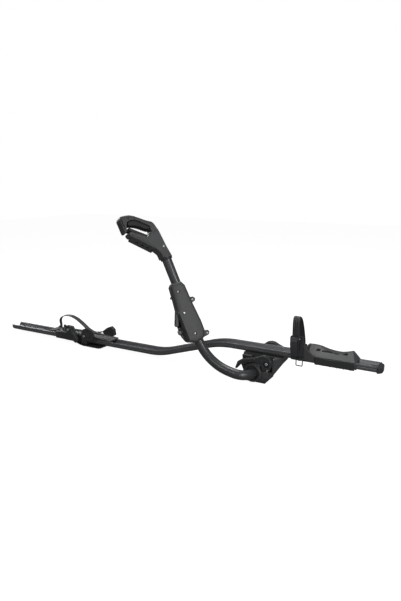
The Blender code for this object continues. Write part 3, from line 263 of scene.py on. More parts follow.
def filleted(points, closed=True, step=math.radians(9), like=None):
    """The points with each corner that has a radius made an arc: (x, y), (x, y, r) or (Vector, r).

    An outline like another one takes its number of pieces at each corner.
    """
    corners = []
    for point in points:
        if isinstance(point[0], Vector):
            corners.append((point[0], point[1]))
        else:
            corners.append((Vector((point[0], point[1], 0.0)), point[2] if len(point) > 2 else 0.0))
    result = []
    count = len(corners)
    for index, (corner, radius) in enumerate(corners):
        at_end = not closed and index in (0, count - 1)
        if at_end or radius <= 0.0:
            result.append(corner)
            continue
        arriving = (corner - corners[index - 1][0]).normalized()
        leaving = (corners[(index + 1) % count][0] - corner).normalized()
        turn = arriving.angle(leaving)
        axis = arriving.cross(leaving).normalized()
        first = corner - radius * math.tan(turn / 2) * arriving
        centre = first + radius * axis.cross(arriving)
        pieces = max(1, math.ceil((corner_turn(like, index) if like else turn) / step - 0.02))
        for piece in range(pieces + 1):
            result.append(centre + Quaternion(axis, turn * piece / pieces) @ (first - centre))
    return result


def smooth_path(points, pieces=5):
    """Catmull-Rom curve through points of two or three coordinates."""
    knots = [Vector((*point, 0.0)[:3]) for point in points]
    knots = [2 * knots[0] - knots[1]] + knots + [2 * knots[-1] - knots[-2]]
    path = []
    for a, b, c, d in zip(knots, knots[1:], knots[2:], knots[3:]):
        for piece in range(pieces):
            t = piece / pieces
            square = (2 * a - 5 * b + 4 * c - d) * t * t
            path.append(0.5 * (2 * b + (c - a) * t + square + (3 * b - a - 3 * c + d) * t**3))
    path.append(knots[-2])
    return path


def place(name, mesh, at=PLAN):
    item = bpy.data.objects.new(name, mesh)
    bpy.context.scene.collection.objects.link(item)
    item.matrix_world = at
    return item


def from_bmesh(name, shape, at=PLAN):
    mesh = bpy.data.meshes.new(name)
    bmesh.ops.recalc_face_normals(shape, faces=shape.faces)
    shape.to_mesh(mesh)
    shape.free()
    return place(name, mesh, at)


def rounded(item, width, segments=3, angle=32):
    modifier = item.modifiers.new("Rounded edges", "BEVEL")
    modifier.width = width
    modifier.segments = segments
    modifier.limit_method = "ANGLE"
    modifier.angle_limit = math.radians(angle)
    return bake(item)


def bake(item):
    """Puts the object's modifiers into its mesh."""
    bpy.context.view_layer.update()
    graph = bpy.context.evaluated_depsgraph_get()
    mesh = bpy.data.meshes.new_from_object(item.evaluated_get(graph))
    item.modifiers.clear()
    item.data = mesh
    return item


def combine(item, helper, operation):
    """Cuts the helper from the item, or joins it to the item, and removes the helper."""
    modifier = item.modifiers.new(operation, "BOOLEAN")
    modifier.operation = operation
    modifier.solver = "MANIFOLD"
    modifier.object = helper
    bake(item)
    bpy.data.objects.remove(helper, do_unlink=True)
    return item


def cut(item, *helpers):
    for helper in helpers:
        combine(item, helper, "DIFFERENCE")
    return item


def join(item, *helpers):
    for helper in helpers:
        combine(item, helper, "UNION")
    return item


def box(low, high, at=PLAN, rounding=0.0, name="block"):
    low, high = Vector(low), Vector(high)
    shape = bmesh.new()
    bmesh.ops.create_cube(shape, size=1.0)
    bmesh.ops.scale(shape, vec=high - low, verts=shape.verts)
    item = from_bmesh(name, shape, at @ Matrix.Translation((low + high) / 2))
    return rounded(item, rounding) if rounding else item


def cylinder(start, end, radius, at=PLAN, sides=40, far_radius=None, rounding=0.0, name="round"):
    """A cylinder, or a cone when far_radius is given, between two points of the frame."""
    start, end = Vector(start), Vector(end)
    shape = bmesh.new()
    bmesh.ops.create_cone(
        shape,
        cap_ends=True,
        segments=sides,
        radius1=radius,
        radius2=radius if far_radius is None else far_radius,
        depth=(end - start).length,
    )
    turn = (end - start).to_track_quat("Z", "Y").to_matrix().to_4x4()
    item = from_bmesh(name, shape, at @ Matrix.Translation((start + end) / 2) @ turn)
    return rounded(item, rounding) if rounding else item


def curve_mesh(curve):
    holder = bpy.data.objects.new("guide", curve)
    bpy.context.scene.collection.objects.link(holder)
    graph = bpy.context.evaluated_depsgraph_get()
    mesh = bpy.data.meshes.new_from_object(holder.evaluated_get(graph))
    shape = bmesh.new()
    shape.from_mesh(mesh)
    bmesh.ops.remove_doubles(shape, verts=shape.verts, dist=1e-6)
    bmesh.ops.recalc_face_normals(shape, faces=shape.faces)
    shape.to_mesh(mesh)
    shape.free()
    bpy.data.objects.remove(holder, do_unlink=True)
    return mesh


def add_spline(curve, points, cyclic):
    spline = curve.splines.new("POLY")
    spline.points.add(len(points) - 1)
    for target, point in zip(spline.points, points):
        target.co = (*point, 1.0)
    spline.use_cyclic_u = cyclic


def plate(outline, low, high, at=PLAN, rounding=0.0, segments=3, name="plate"):
    """A flat outline of the frame's XY plane, made solid from depth low to depth high."""
    curve = bpy.data.curves.new(name, "CURVE")
    curve.dimensions = "2D"
    curve.fill_mode = "BOTH"
    curve.extrude = (high - low) / 2
    add_spline(curve, filleted(outline), True)
    mesh = curve_mesh(curve)
    mesh.transform(Matrix.Translation((0, 0, (low + high) / 2)))
    item = place(name, mesh, at)
    return rounded(item, rounding, segments) if rounding else item


def tube(path, radius, at=PLAN, sides=16, cyclic=False, name="tube"):
    curve = bpy.data.curves.new(name, "CURVE")
    curve.dimensions = "3D"
    curve.fill_mode = "FULL"
    curve.bevel_depth = radius
    curve.bevel_resolution = (sides - 4) // 2
    curve.use_fill_caps = not cyclic
    add_spline(curve, path, cyclic)
    return place(name, curve_mesh(curve), at)


def groove(points, depth, radius, at=PLAN, closed=False, bend=0.004):
    """A helper that engraves a rounded line: (x, y) points at one depth of the frame."""
    corners = [(Vector((x, y, depth)), bend) for x, y in points]
    path = filleted(corners, closed=closed, step=math.radians(15))
    return tube(path, radius, at, sides=10, cyclic=closed)


def swept(name, path, section, across=None):
    """A closed (across, up) section swept along a path, with UVs in metres along and round it.

    across gives the section's first direction at each point; without it, that is +Y."""
    shape = bmesh.new()
    layer = shape.loops.layers.uv.new("along")
    rings = []
    reach = [0.0]
    for index, point in enumerate(path):
        before, after = path[max(index - 1, 0)], path[min(index + 1, len(path) - 1)]
        ahead = (after - before).normalized()
        side = Vector(across[index]) if across else Vector((0, 1, 0))
        side = (side - side.dot(ahead) * ahead).normalized()
        up = ahead.cross(side)
        rings.append([shape.verts.new(point + x * side + z * up) for x, z in section])
        if index:
            reach.append(reach[-1] + (point - path[index - 1]).length)
    around = [0.0]
    for first, second in zip(section, section[1:] + section[:1]):
        around.append(around[-1] + math.dist(first, second))
    count = len(section)
    for ring in range(len(rings) - 1):
        for corner in range(count):
            following = (corner + 1) % count
            ends = (
                (rings[ring][corner], reach[ring], around[corner]),
                (rings[ring][following], reach[ring], around[corner + 1]),
                (rings[ring + 1][following], reach[ring + 1], around[corner + 1]),
                (rings[ring + 1][corner], reach[ring + 1], around[corner]),
            )
            face = shape.faces.new([vertex for vertex, u, v in ends])
            for loop, (vertex, u, v) in zip(face.loops, ends):
                loop[layer].uv = (u, v)
    shape.faces.new(rings[0][::-1])
    shape.faces.new(rings[-1])
    return from_bmesh(name, shape)


def flat_section(width, thick, ribs=0, rib_height=0.0):
    """A strap's section, thick across its middle, with lengthwise ribs on its outer face."""
    half, edge = width / 2, thick * 0.30
    lower = [(-half, edge - thick / 2), (-half + edge, -thick / 2), (half - edge, -thick / 2)]
    lower += [(half, edge - thick / 2), (half, thick / 2 - edge), (half - edge, thick / 2)]
    if ribs:
        pitch = (width - 4 * edge) / ribs
        start = half - 2 * edge
        for rib in range(ribs):
            right = start - rib * pitch
            for share, height in ((0.10, 0.0), (0.28, 1.0), (0.62, 1.0), (0.80, 0.0)):
                lower.append((right - share * pitch, thick / 2 + height * rib_height))
    lower += [(-half + edge, thick / 2), (-half, thick / 2 - edge)]
    return lower


def settle(item, name, body, finish, *stands_for, sharp=34):
    """Names a finished piece, gives it its finish and puts it on its body in place of its CAD nodes."""
    item.name = name
    item.data.name = name
    mirrored = item.matrix_world.determinant() < 0
    item.data.transform(item.matrix_world)
    if mirrored:
        item.data.flip_normals()
    item.matrix_world = Matrix.Identity(4)
    item.data.materials.clear()
    item.data.materials.append(FINISHES[finish])
    for polygon in item.data.polygons:
        polygon.material_index = 0
    item.data.shade_smooth()
    item.data.set_sharp_from_angle(angle=math.radians(sharp))
    weighted = item.modifiers.new("Even shading", "WEIGHTED_NORMAL")
    weighted.keep_sharp = True
    weighted.weight = 80
    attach(item, body)
    if stands_for:
        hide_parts(*stands_for)
    return item


def inset_outline(points, amount):
    """The outline's corners moved inwards, with radii that keep its roundings parallel."""
    corners = [(Vector((point[0], point[1])), point[2] if len(point) > 2 else 0.0) for point in points]
    count = len(corners)
    following = corners[1:] + corners[:1]
    area = sum(a.x * b.y - b.x * a.y for (a, _), (b, _) in zip(corners, following))
    turn = 1.0 if area > 0 else -1.0
    moved = []
    for index, (corner, radius) in enumerate(corners):
        before = (corner - corners[index - 1][0]).normalized()
        after = (corners[(index + 1) % count][0] - corner).normalized()
        first = Vector((-before.y, before.x)) * turn
        mean = (first + Vector((-after.y, after.x)) * turn).normalized()
        reach = amount / max(mean.dot(first), 0.25)
        if radius > 0:
            convex = (before.x * after.y - before.y * after.x) * turn > 0
            radius = max(radius - amount, 0.0002) if convex else radius + amount
        moved.append((corner.x + mean.x * reach, corner.y + mean.y * reach, radius))
    return moved


def quarter_round(across, deep, steps):
    """(inset, height) pairs from a side wall up onto a face."""
    angles = [math.pi / 2 * step / steps for step in range(steps + 1)]
    return [(across * (1 - math.cos(a)), deep * math.sin(a)) for a in angles]


def crowned(outline, low, high, at=PLAN, low_edge=0.0012, high_edge=0.0012, rise=0.0, steps=4, name="form"):
    """A plate with quarter-round rims: an edge is a radius or (across, deep); rise domes the high face."""
    low_across, low_deep = low_edge if isinstance(low_edge, tuple) else (low_edge, low_edge)
    high_across, high_deep = high_edge if isinstance(high_edge, tuple) else (high_edge, high_edge)
    layers = [(inset, low + low_deep - up) for inset, up in quarter_round(low_across, low_deep, steps)]
    layers.reverse()
    wall = high - rise - high_deep
    layers += [(inset, wall + up) for inset, up in quarter_round(high_across, high_deep, steps)]
    if rise:
        layers += [(high_across + 0.0025, high - rise * 0.45), (high_across + 0.0055, high)]
    shape = bmesh.new()
    rings = []
    for inset, height in layers:
        ring = filleted(inset_outline(outline, inset) if inset else outline, like=outline)
        rings.append([shape.verts.new((point.x, point.y, height)) for point in ring])
    for ring, following in zip(rings, rings[1:]):
        for corner in range(len(ring)):
            beside = (corner + 1) % len(ring)
            shape.faces.new((ring[corner], ring[beside], following[beside], following[corner]))
    shape.faces.new(rings[0][::-1])
    shape.faces.new(rings[-1])
    bmesh.ops.remove_doubles(shape, verts=shape.verts, dist=1e-7)
    return from_bmesh(name, shape, at)


def circle(radius, count, centre=(0.0, 0.0)):
    """Evenly spaced points of a circle."""
    angles = [2 * math.pi * index / count for index in range(count)]
    return [(centre[0] + radius * math.cos(a), centre[1] + radius * math.sin(a)) for a in angles]


def turned(profile, at=PLAN, sides=56, name="turned"):
    """A solid of revolution about the frame's z axis: (radius, height) points; zero radii close it."""
    shape = bmesh.new()
    rings = []
    for radius, height in profile:
        if radius < 1e-7:
            rings.append([shape.verts.new((0.0, 0.0, height))])
            continue
        rings.append([shape.verts.new((*spot, height)) for spot in circle(radius, sides)])
    closed = len(rings[0]) > 1
    pairs = list(zip(rings, rings[1:])) + ([(rings[-1], rings[0])] if closed else [])
    for first, second in pairs:
        for side in range(sides):
            beside = (side + 1) % sides
            if len(first) == 1:
                shape.faces.new((first[0], second[beside], second[side]))
            elif len(second) == 1:
                shape.faces.new((first[side], first[beside], second[0]))
            else:
                shape.faces.new((first[side], first[beside], second[beside], second[side]))
    return from_bmesh(name, shape, at)


def axis_frame(point, out):
    """A frame at a point with its z axis along out."""
    placed = Vector(out).to_track_quat("Z", "Y").to_matrix().to_4x4()
    placed.translation = Vector(point)
    return placed


def near_side(x, z):
    """A frame on an axis along Y, with depth towards -Y."""
    return SIDE @ Matrix.Translation((x, z, 0.0))


def bolt(
    name, body, at, shank, under, radius, height, stands_for,
    finish="bright_steel", shank_radius=0.0, sides=6,
):
    """A domed head from depth under, with a socket, on a shank that starts at depth shank."""
    profile = [(0.0, shank), (shank_radius, shank)] if shank_radius else [(0.0, under)]
    if shank_radius:
        profile.append((shank_radius, under))
    profile += [
        (radius * 0.94, under), (radius, under + height * 0.10), (radius, under + height * 0.50),
        (radius * 0.93, under + height * 0.76), (radius * 0.76, under + height * 0.94),
        (radius * 0.55, under + height), (0.0, under + height),
    ]
    item = turned(profile, at, 40)
    low, high = (0, 0, under + height * 0.30), (0, 0, under + height * 1.6)
    cut(item, cylinder(low, high, radius * 0.42, at, sides=sides))
    return settle(item, name, body, finish, *stands_for)


def pin(name, body, at, low, high, radius, finish="bright_steel", chamfer=0.0004):
    """A pin along the frame's z axis with chamfered, dimpled ends, in place of the node of its own name."""
    dimple = radius * 0.35
    profile = [
        (0.0, low + chamfer * 0.7), (dimple, low), (radius - chamfer, low), (radius, low + chamfer),
        (radius, high - chamfer), (radius - chamfer, high), (dimple, high), (0.0, high - chamfer * 0.7),
    ]
    return settle(turned(profile, at, 32), name + "_turned", body, finish, name)


# ---------------------------------------------------------------- rail


def make_rail():
    half = [
        (0.0035, 0.0000), (0.0055, 0.0000), (0.0060, 0.0005), (0.0075, 0.0005), (0.0080, 0.0000),
        (0.0150, 0.0000), (0.0170, 0.0004), (0.0229, 0.0062), (0.0233, 0.0068), (0.0233, 0.0085),
        (0.0245, 0.0093), (0.0245, 0.0118), (0.0243, 0.0122), (0.0231, 0.0128), (0.0231, 0.0144),
        (0.0243, 0.0150), (0.0245, 0.0155), (0.0245, 0.0186), (0.0242, 0.0193), (0.0236, 0.0195),
        (0.0208, 0.0195), (0.0203, 0.0192), (0.0200, 0.0186), (0.0185, 0.0172), (0.0178, 0.0172),
        (0.0170, 0.0160), (0.0150, 0.0122), (0.0143, 0.0120), (0.0137, 0.0110), (0.0122, 0.0090),
        (0.0110, 0.0082), (0.0095, 0.0075), (0.0070, 0.0075), (0.0066, 0.0079), (0.0060, 0.0079),
        (0.0056, 0.0075), (0.0020, 0.0075),
    ]
    inner = [(SLOT_WIDE, SLOT_TOP), (SLOT_WIDE, SLOT_LIP), (SLOT_HALF, SLOT_LIP)]
    section = half + [(-x, y) for x, y in half[::-1]]
    section += [(-x, y) for x, y in inner[::-1]] + inner
    corners = [
        (Vector((RAIL_REAR, 0, RAIL_LOW)), 0), (Vector((BEND_REAR, 0, RAIL_LOW)), BEND_RADIUS),
        (Vector((BEND_FRONT, 0, RAIL_HIGH)), BEND_RADIUS), (Vector((RAIL_FRONT, 0, RAIL_HIGH)), 0),
    ]
    path = filleted(corners, closed=False, step=math.radians(0.8))
    settle(swept("rail", path, section), "rail_extrusion", ROOT, "anodised_rail", "wheel_rail", sharp=24)


def make_nose_cap():
    wide = RAIL_HALF + 0.0006
    outline = [
        (RAIL_FRONT + GAP, -wide, 0.0008), (NOSE_FRONT - 0.009, -wide, 0.004),
        (NOSE_FRONT, -0.014, 0.005), (NOSE_FRONT, 0.010, 0.006), (NOSE_FRONT - 0.011, wide, 0.005),
        (RAIL_FRONT + GAP, wide, 0.0008),
    ]
    low, high = RAIL_HIGH - 0.0006, RAIL_HIGH + RAIL_HEIGHT + 0.0006
    cap = crowned(outline, low, high, low_edge=0.0025, high_edge=(0.0045, 0.0038), steps=6)
    floor = RAIL_HIGH + RAIL_FLOOR + GAP
    join(cap, box((RAIL_FRONT - 0.018, -0.009, floor), (RAIL_FRONT + 0.004, 0.009, floor + 0.004)))
    band = [Vector((RAIL_FRONT + 0.0028, -0.040, high)), Vector((RAIL_FRONT + 0.0028, 0.040, high))]
    cut(cap, tube(band, 0.0006, sides=10))
    for z in (low + 0.0060, low + 0.0140):
        start, end = Vector((RAIL_FRONT + 0.001, -wide, z)), Vector((NOSE_FRONT - 0.011, -wide, z))
        cut(cap, tube([start, end], 0.0006, sides=10))
    settle(cap, "nose_cap", ROOT, "dark_plastic", "rail_nose_cap")


# ---------------------------------------------------------------- front foot


def make_foot():
    pad_outline = [
        (-0.034, FOOT_NEAR, 0.0015), (0.0285, FOOT_NEAR, 0.0015), (0.0285, FOOT_PAD_FAR, 0.0015),
        (-0.034, FOOT_PAD_FAR, 0.0015),
    ]
    pad = crowned(pad_outline, 0.0, PAD_THICK, low_edge=0.0008, high_edge=0.0006)
    for index in range(9):
        x = -0.030 + 0.0068 * index
        cut(pad, box((x, FOOT_NEAR - 0.002, -0.001), (x + 0.0016, FOOT_NEAR + 0.0012, 0.0026)))
    settle(pad, "foot_rubber_pad", ROOT, "rubber", "foot_pad")

    top = RAIL_HIGH - GAP
    outline = [
        (-0.033, PAD_THICK + GAP, 0.003), (0.029, PAD_THICK + GAP, 0.003), (0.069, 0.0625, 0.010),
        (0.0725, top), (-0.055, top), (-0.052, 0.050, 0.008),
    ]
    body = crowned(outline, -FOOT_FAR, -FOOT_NEAR, SIDE, 0.0018, 0.0020)
    under = [
        (FOOT_PAD_FAR, -0.0050), (FOOT_PAD_FAR, 0.0450), (FOOT_FAR + 0.002, 0.0560),
        (FOOT_FAR + 0.020, 0.0560), (FOOT_FAR + 0.020, -0.0050),
    ]
    flank = [(0.0540, -0.0560), (0.0900, -0.0560), (0.0900, -0.0100), (0.0770, -0.0180)]
    cut(
        body,
        plate(under, -0.100, 0.100, CROSS),
        plate(flank, -0.010, 0.100),
        box((-0.070, -0.070, 0.0540), (0.0125, -0.028, 0.090), rounding=0.0012),
        box((0.012, -0.070, 0.0370), (0.0510, -0.034, 0.090), rounding=0.0012),
    )
    start, end = (PIVOT.x, -0.070, PIVOT.z), (PIVOT.x, -0.0115, PIVOT.z)
    cut(body, cylinder(start, end, BUSH_RADIUS + GAP, sides=64))
    cut(body, cylinder((PIVOT.x, -0.020, PIVOT.z), (PIVOT.x, 0.060, PIVOT.z), 0.0046, sides=32))
    cut(body, cylinder((ROD_X, -0.0445, 0.0052), (ROD_X, -0.0445, 0.060), 0.0040, sides=24))
    for x in FOOT_BOLTS:
        cut(body, cylinder((x, 0, 0.066), (x, 0, 0.090), 0.0032, sides=24))
    ahead = Vector((0.0230, 0.0380, 0.0)).normalized()
    for index in range(7):
        at = Vector((0.0540, -0.0560, 0.0)) + ahead * (0.0062 + 0.0044 * index)
        cut(body, tube([at + Vector((0, 0, 0.012)), at + Vector((0, 0, 0.0785))], 0.0011, sides=12))
    stop = [
        (0.0130, 0.0380), (0.0255, 0.0380), (0.0215, 0.0465, 0.004), (0.0185, 0.0560, 0.004),
        (0.0130, 0.0560, 0.002),
    ]
    join(body, crowned(stop, 0.0330, 0.0495, SIDE, 0.0, 0.0010))
    for z in (0.0610, 0.0680, 0.0750):
        fin = [(-0.0500, z), (-0.0180, z), (-0.0180, z + 0.0016), (-0.0495, z + 0.0016)]
        join(body, crowned(fin, 0.026, 0.0305, SIDE))
    cut(body, groove([(0.0220, 0.0105), (0.0310, 0.0150), (0.0480, 0.0400)], -FOOT_NEAR, 0.0009, SIDE))
    settle(body, "foot_casting", ROOT, "moulded_plastic", "foot_body")

    block = [
        (-0.0500, 0.0560, 0.002), (-0.0260, 0.0560, 0.002), (-0.0200, 0.0640, 0.003),
        (-0.0200, 0.0800, 0.002), (-0.0525, 0.0800, 0.002),
    ]
    stop_block = crowned(block, 0.0308, 0.0460, SIDE, 0.0008, 0.0022)
    for z in (0.0620, 0.0680, 0.0740):
        cut(stop_block, groove([(-0.0470, z), (-0.0240, z)], 0.0460, 0.0008, SIDE))
    settle(stop_block, "foot_rear_block", ROOT, "dark_plastic")

    at = near_side(PIVOT.x, PIVOT.z)
    ring = [
        (0.0157, 0.0534), (0.0297, 0.0534), (0.0300, 0.0538), (0.0300, 0.0582), (0.0297, 0.0598),
        (0.0290, 0.0611), (0.0278, 0.0620), (0.0270, 0.0614), (0.0262, 0.0614), (0.0256, 0.0624),
        (0.0242, 0.0625), (0.0234, 0.0622), (0.0228, 0.0612), (0.0222, 0.0588), (0.0200, 0.0566),
        (0.0157, 0.0560),
    ]
    settle(turned(ring, at, 80), "boss_collar", ROOT, "moulded_plastic", "boss_ring", sharp=40)
    inner = TUBE_RADIUS + GAP
    bush = [
        (inner, 0.0118), (BUSH_RADIUS - 0.0008, 0.0118), (BUSH_RADIUS, 0.0126), (BUSH_RADIUS, 0.0524),
        (BUSH_RADIUS - 0.0006, 0.0530), (inner + 0.0004, 0.0530), (inner, 0.0526),
    ]
    settle(turned(bush, at, 64), "pivot_bush", ROOT, "dark_plastic", "pivot_bushing")
    far = axis_frame((PIVOT.x, 0.0, PIVOT.z), (0, 1, 0))
    washer = [(0.0044, 0.0203), (0.0106, 0.0203), (0.0110, 0.0206)]
    washer += [(0.0110, 0.0216), (0.0106, 0.0218), (0.0044, 0.0218)]
    settle(turned(washer, far, 48), "pivot_bolt_washer", "arm", "bright_steel", "pivot_washer")
    head = [(0.0, -0.0117), (0.0036, -0.0117), (0.0040, -0.0113), (0.0040, 0.0221), (0.0074, 0.0221)]
    head += [(0.0074, 0.0262), (0.0066, 0.0275), (0.0, 0.0275)]
    hexagon = turned(head, far, 6)
    cut(hexagon, cylinder((0, 0, 0.0255), (0, 0, 0.0290), 0.0034, far, sides=32))
    settle(hexagon, "pivot_hex_bolt", "arm", "bright_steel", "pivot_bolt")
    for end, x in zip(("rear", "front"), FOOT_BOLTS):
        make_t_bolt("rail_t_bolt_" + end, ROOT, x, RAIL_HIGH, 0.069)


def make_t_bolt(name, body, x, rail_z, low):
    low_z, high_z = rail_z + SLOT_LIP + GAP, rail_z + SLOT_TOP - GAP
    half = SLOT_WIDE - GAP
    head = box((x - 0.006, -half, low_z), (x + 0.006, half, high_z), rounding=0.0005)
    at = Matrix.Translation((x, 0, 0))
    shank = [(0.0, low), (0.0022, low), (0.0028, low + 0.0006)]
    thread = low + 0.0006
    top = low_z + 0.001
    while thread + 0.0008 < top - 0.0008:
        shank += [(0.0028, thread + 0.0002), (0.0024, thread + 0.0005), (0.0028, thread + 0.0008)]
        thread += 0.0008
    shank += [(0.0028, top), (0.0, top)]
    join(head, turned(shank, at, 24))
    settle(head, name + "_threaded", body, "black_steel", name)


def make_cam_lever():
    outline = [
        (CAM.x - 0.0800, 0.0705, 0.003), (CAM.x - 0.0940, 0.0620, 0.003),
        (CAM.x - 0.1020, 0.0400, 0.002), (CAM.x - 0.0970, 0.0375, 0.002),
        (CAM.x - 0.0800, 0.0575, 0.006), (CAM.x - 0.0330, 0.0690, 0.020),
        (CAM.x - 0.0160, 0.0600, 0.006), (CAM.x - 0.0120, CAM.z - 0.0160, 0.012),
        (CAM.x + 0.0140, CAM.z - 0.0165, 0.012), (CAM.x + 0.0185, CAM.z + 0.0100, 0.014),
        (CAM.x - 0.0060, CAM.z + 0.0290, 0.014), (CAM.x - 0.0380, 0.0815, 0.025),
    ]
    lever = crowned(outline, 0.0535, 0.0662, SIDE, 0.0012, (0.0018, 0.0024), steps=5)
    at = near_side(CAM.x, CAM.z)
    dish = [(0.0, 0.0605), (0.0095, 0.0605), (0.0100, 0.0640), (0.0108, 0.0680), (0.0, 0.0680)]
    cut(lever, turned(dish, at, 48), cylinder((0, 0, 0.040), (0, 0, 0.070), 0.0043, at, sides=32))
    upper = [
        (CAM.x - 0.0760, 0.0672), (CAM.x - 0.0560, 0.0715), (CAM.x - 0.0380, 0.0776),
        (CAM.x - 0.0220, 0.0868), (CAM.x - 0.0080, 0.0905), (CAM.x + 0.0060, 0.0865),
        (CAM.x + 0.0130, 0.0760),
    ]
    lower = [
        (CAM.x - 0.0740, 0.0627), (CAM.x - 0.0540, 0.0680), (CAM.x - 0.0360, 0.0730),
        (CAM.x - 0.0240, 0.0800), (CAM.x - 0.0145, 0.0790), (CAM.x - 0.0132, 0.0690),
        (CAM.x - 0.0110, 0.0585), (CAM.x - 0.0010, 0.0532), (CAM.x + 0.0100, 0.0560),
    ]
    for line in (upper, lower):
        path = [Vector((p.x, p.y, 0.0660)) for p in smooth_path(line, 6)]
        join(lever, tube(path, 0.0010, SIDE, sides=12))
    cut(lever, groove([(CAM.x - 0.0800, 0.0550), (CAM.x - 0.0790, 0.0720)], 0.0662, 0.0009, SIDE))
    for index in range(4):
        x, z = CAM.x - 0.0855 - 0.0032 * index, 0.0600 - 0.0052 * index
        cut(lever, groove([(x - 0.0060, z + 0.0035), (x + 0.0060, z - 0.0035)], 0.0664, 0.0007, SIDE))
    settle(lever, "cam_lever_grip", "cam", "dark_plastic", "cam_lever")
    bolt("cam_socket_bolt", "cam", at, 0.0343, 0.0606, 0.0056, 0.0049, ("cam_bolt",), shank_radius=0.0039)
    pin("cam_detent_pin", ROOT, near_side(0.0385, 0.0468), 0.0343, 0.0530, 0.0024)
    pin("draw_rod", "draw_rod", Matrix.Translation((ROD_X, -0.0445, 0)), 0.0112, 0.0620, 0.0036)


def make_far_cheek():
    outline = [
        (-0.014, 0.0830, 0.001), (0.058, 0.0830, 0.001), (0.058, 0.0920, 0.004), (0.046, 0.0980, 0.006),
        (0.035, 0.1025, 0.010), (0.024, 0.1085, 0.010), (0.012, 0.1098, 0.010), (-0.001, 0.1065, 0.008),
        (-0.012, 0.0980, 0.006),
    ]
    cheek = crowned(outline, -0.0440, -0.0255, SIDE, 0.0030, 0.0025, steps=5)
    line = [(-0.0090, 0.0880), (0.0030, 0.1030), (0.0180, 0.1050), (0.0500, 0.0920)]
    cut(cheek, groove(line, -0.0255, 0.0008, SIDE))
    for index in range(4):
        x = 0.026 + 0.007 * index
        cut(cheek, box((x, 0.0240, 0.0860), (x + 0.0030, 0.0268, 0.0935 - 0.0012 * index), rounding=0.0004))
    settle(cheek, "clamp_cheek", ROOT, "moulded_plastic", "far_cheek")
    at = axis_frame((0.009, 0.0, 0.0950), (0, 1, 0))
    profile = [
        (0.0, 0.0443), (0.0098, 0.0443), (0.0105, 0.0450), (0.0105, 0.0508), (0.0098, 0.0522),
        (0.0086, 0.0530), (0.0060, 0.0530), (0.0052, 0.0520), (0.0, 0.0518),
    ]
    knob = turned(profile, at, 60)
    for spot in circle(0.0112, 12):
        cut(knob, cylinder((*spot, 0.0440), (*spot, 0.0540), 0.0014, at, sides=12))
    settle(knob, "fluted_knob", ROOT, "dark_plastic", "cheek_knob")


# ---------------------------------------------------------------- front wheel cradle


# Each window of the cradle's floor: where it starts and ends along the rail, and its far edge.
CRADLE_WINDOWS = (
    (0.166, 0.178, 0.007), (0.1965, 0.2125, 0.007), (0.1835, 0.2330, 0.003), (0.244, 0.258, 0.007),
)


def make_front_cradle():
    top = [
        (0.156, 0.1245), (0.175, 0.1225), (0.200, 0.1160), (0.232, 0.1130), (0.255, 0.1170),
        (0.268, 0.1215),
    ]
    dip = [(0.156, 0.1245, 0.006)]
    dip += [(point.x, point.y) for point in smooth_path(top, 5)[1:-1]]
    dip += [(0.2700, 0.1215, 0.004)]
    outline = [(FRONT_REAR, 0.0840), (FRONT_REAR, 0.1235, 0.005)] + dip
    outline += [(0.2890, 0.1015, 0.002), (FRONT_END, 0.0995), (FRONT_END, 0.0840)]
    body = crowned(outline[::-1], -0.0300, 0.0295, SIDE, 0.0010, 0.0012)
    wide, rail_top = RAIL_HALF + GAP, RAIL_HIGH + RAIL_HEIGHT + GAP
    cut(body, box((0.10, -wide, 0.070), (0.32, wide, rail_top)))
    slope = [(-0.0340, 0.1030), (0.0265, 0.1255), (0.0265, 0.1500), (-0.0340, 0.1500)]
    cut(body, plate(slope, 0.1440, 0.310, CROSS))
    for start, end, far in CRADLE_WINDOWS:
        cut(body, box((start, -0.004, 0.0860), (end, far, 0.140), rounding=0.0008))
    line = [(0.1500, 0.1030), (0.1750, 0.1050), (0.2300, 0.1040), (0.2850, 0.1010)]
    cut(body, groove(line, 0.0295, 0.0007, SIDE))
    for x in (0.1790, 0.2230, 0.2600):
        cut(body, groove([(x, 0.1050), (x + 0.0004, 0.1180)], 0.0240, 0.0009, SIDE))
    fin = [
        (0.1385, 0.0900), (0.1385, 0.1480, 0.001), (0.1415, 0.1370, 0.010), (0.1480, 0.1240, 0.020),
        (0.1570, 0.1140, 0.020), (0.1700, 0.1060), (0.1700, 0.0900),
    ]
    join(body, crowned(fin[::-1], 0.0270, 0.0345, SIDE, 0.0006, 0.0010))
    settle(body, "front_cradle_moulding", ROOT, "moulded_plastic", "front_cradle")

    skirt = [
        (0.1715, 0.0815, 0.001), (0.2860, 0.0815, 0.001), (0.2860, 0.1000, 0.003),
        (0.2720, 0.1055, 0.010), (0.2450, 0.1035, 0.030), (0.2150, 0.1015, 0.030),
        (0.1715, 0.1050, 0.003),
    ]
    panel = crowned(skirt, 0.0299, 0.0325, SIDE, 0.0002, 0.0007)
    for index in range(6):
        x = 0.178 + 0.0195 * index
        join(panel, cylinder((x, -0.0322, 0.0817), (x, -0.0302, 0.0817), 0.0014, sides=20))
        cut(panel, groove([(x + 0.0098, 0.0840), (x + 0.0098, 0.0862)], 0.0325, 0.0006, SIDE))
    edge = [(0.1735, 0.1030), (0.2150, 0.0995), (0.2450, 0.1012), (0.2700, 0.1030), (0.2835, 0.0985)]
    path = [Vector((p.x, p.y, 0.0325)) for p in smooth_path(edge, 6)]
    cut(panel, tube(path, 0.0005, SIDE, sides=10))
    settle(panel, "front_skirt_panel", ROOT, "dark_plastic", "front_skirt")


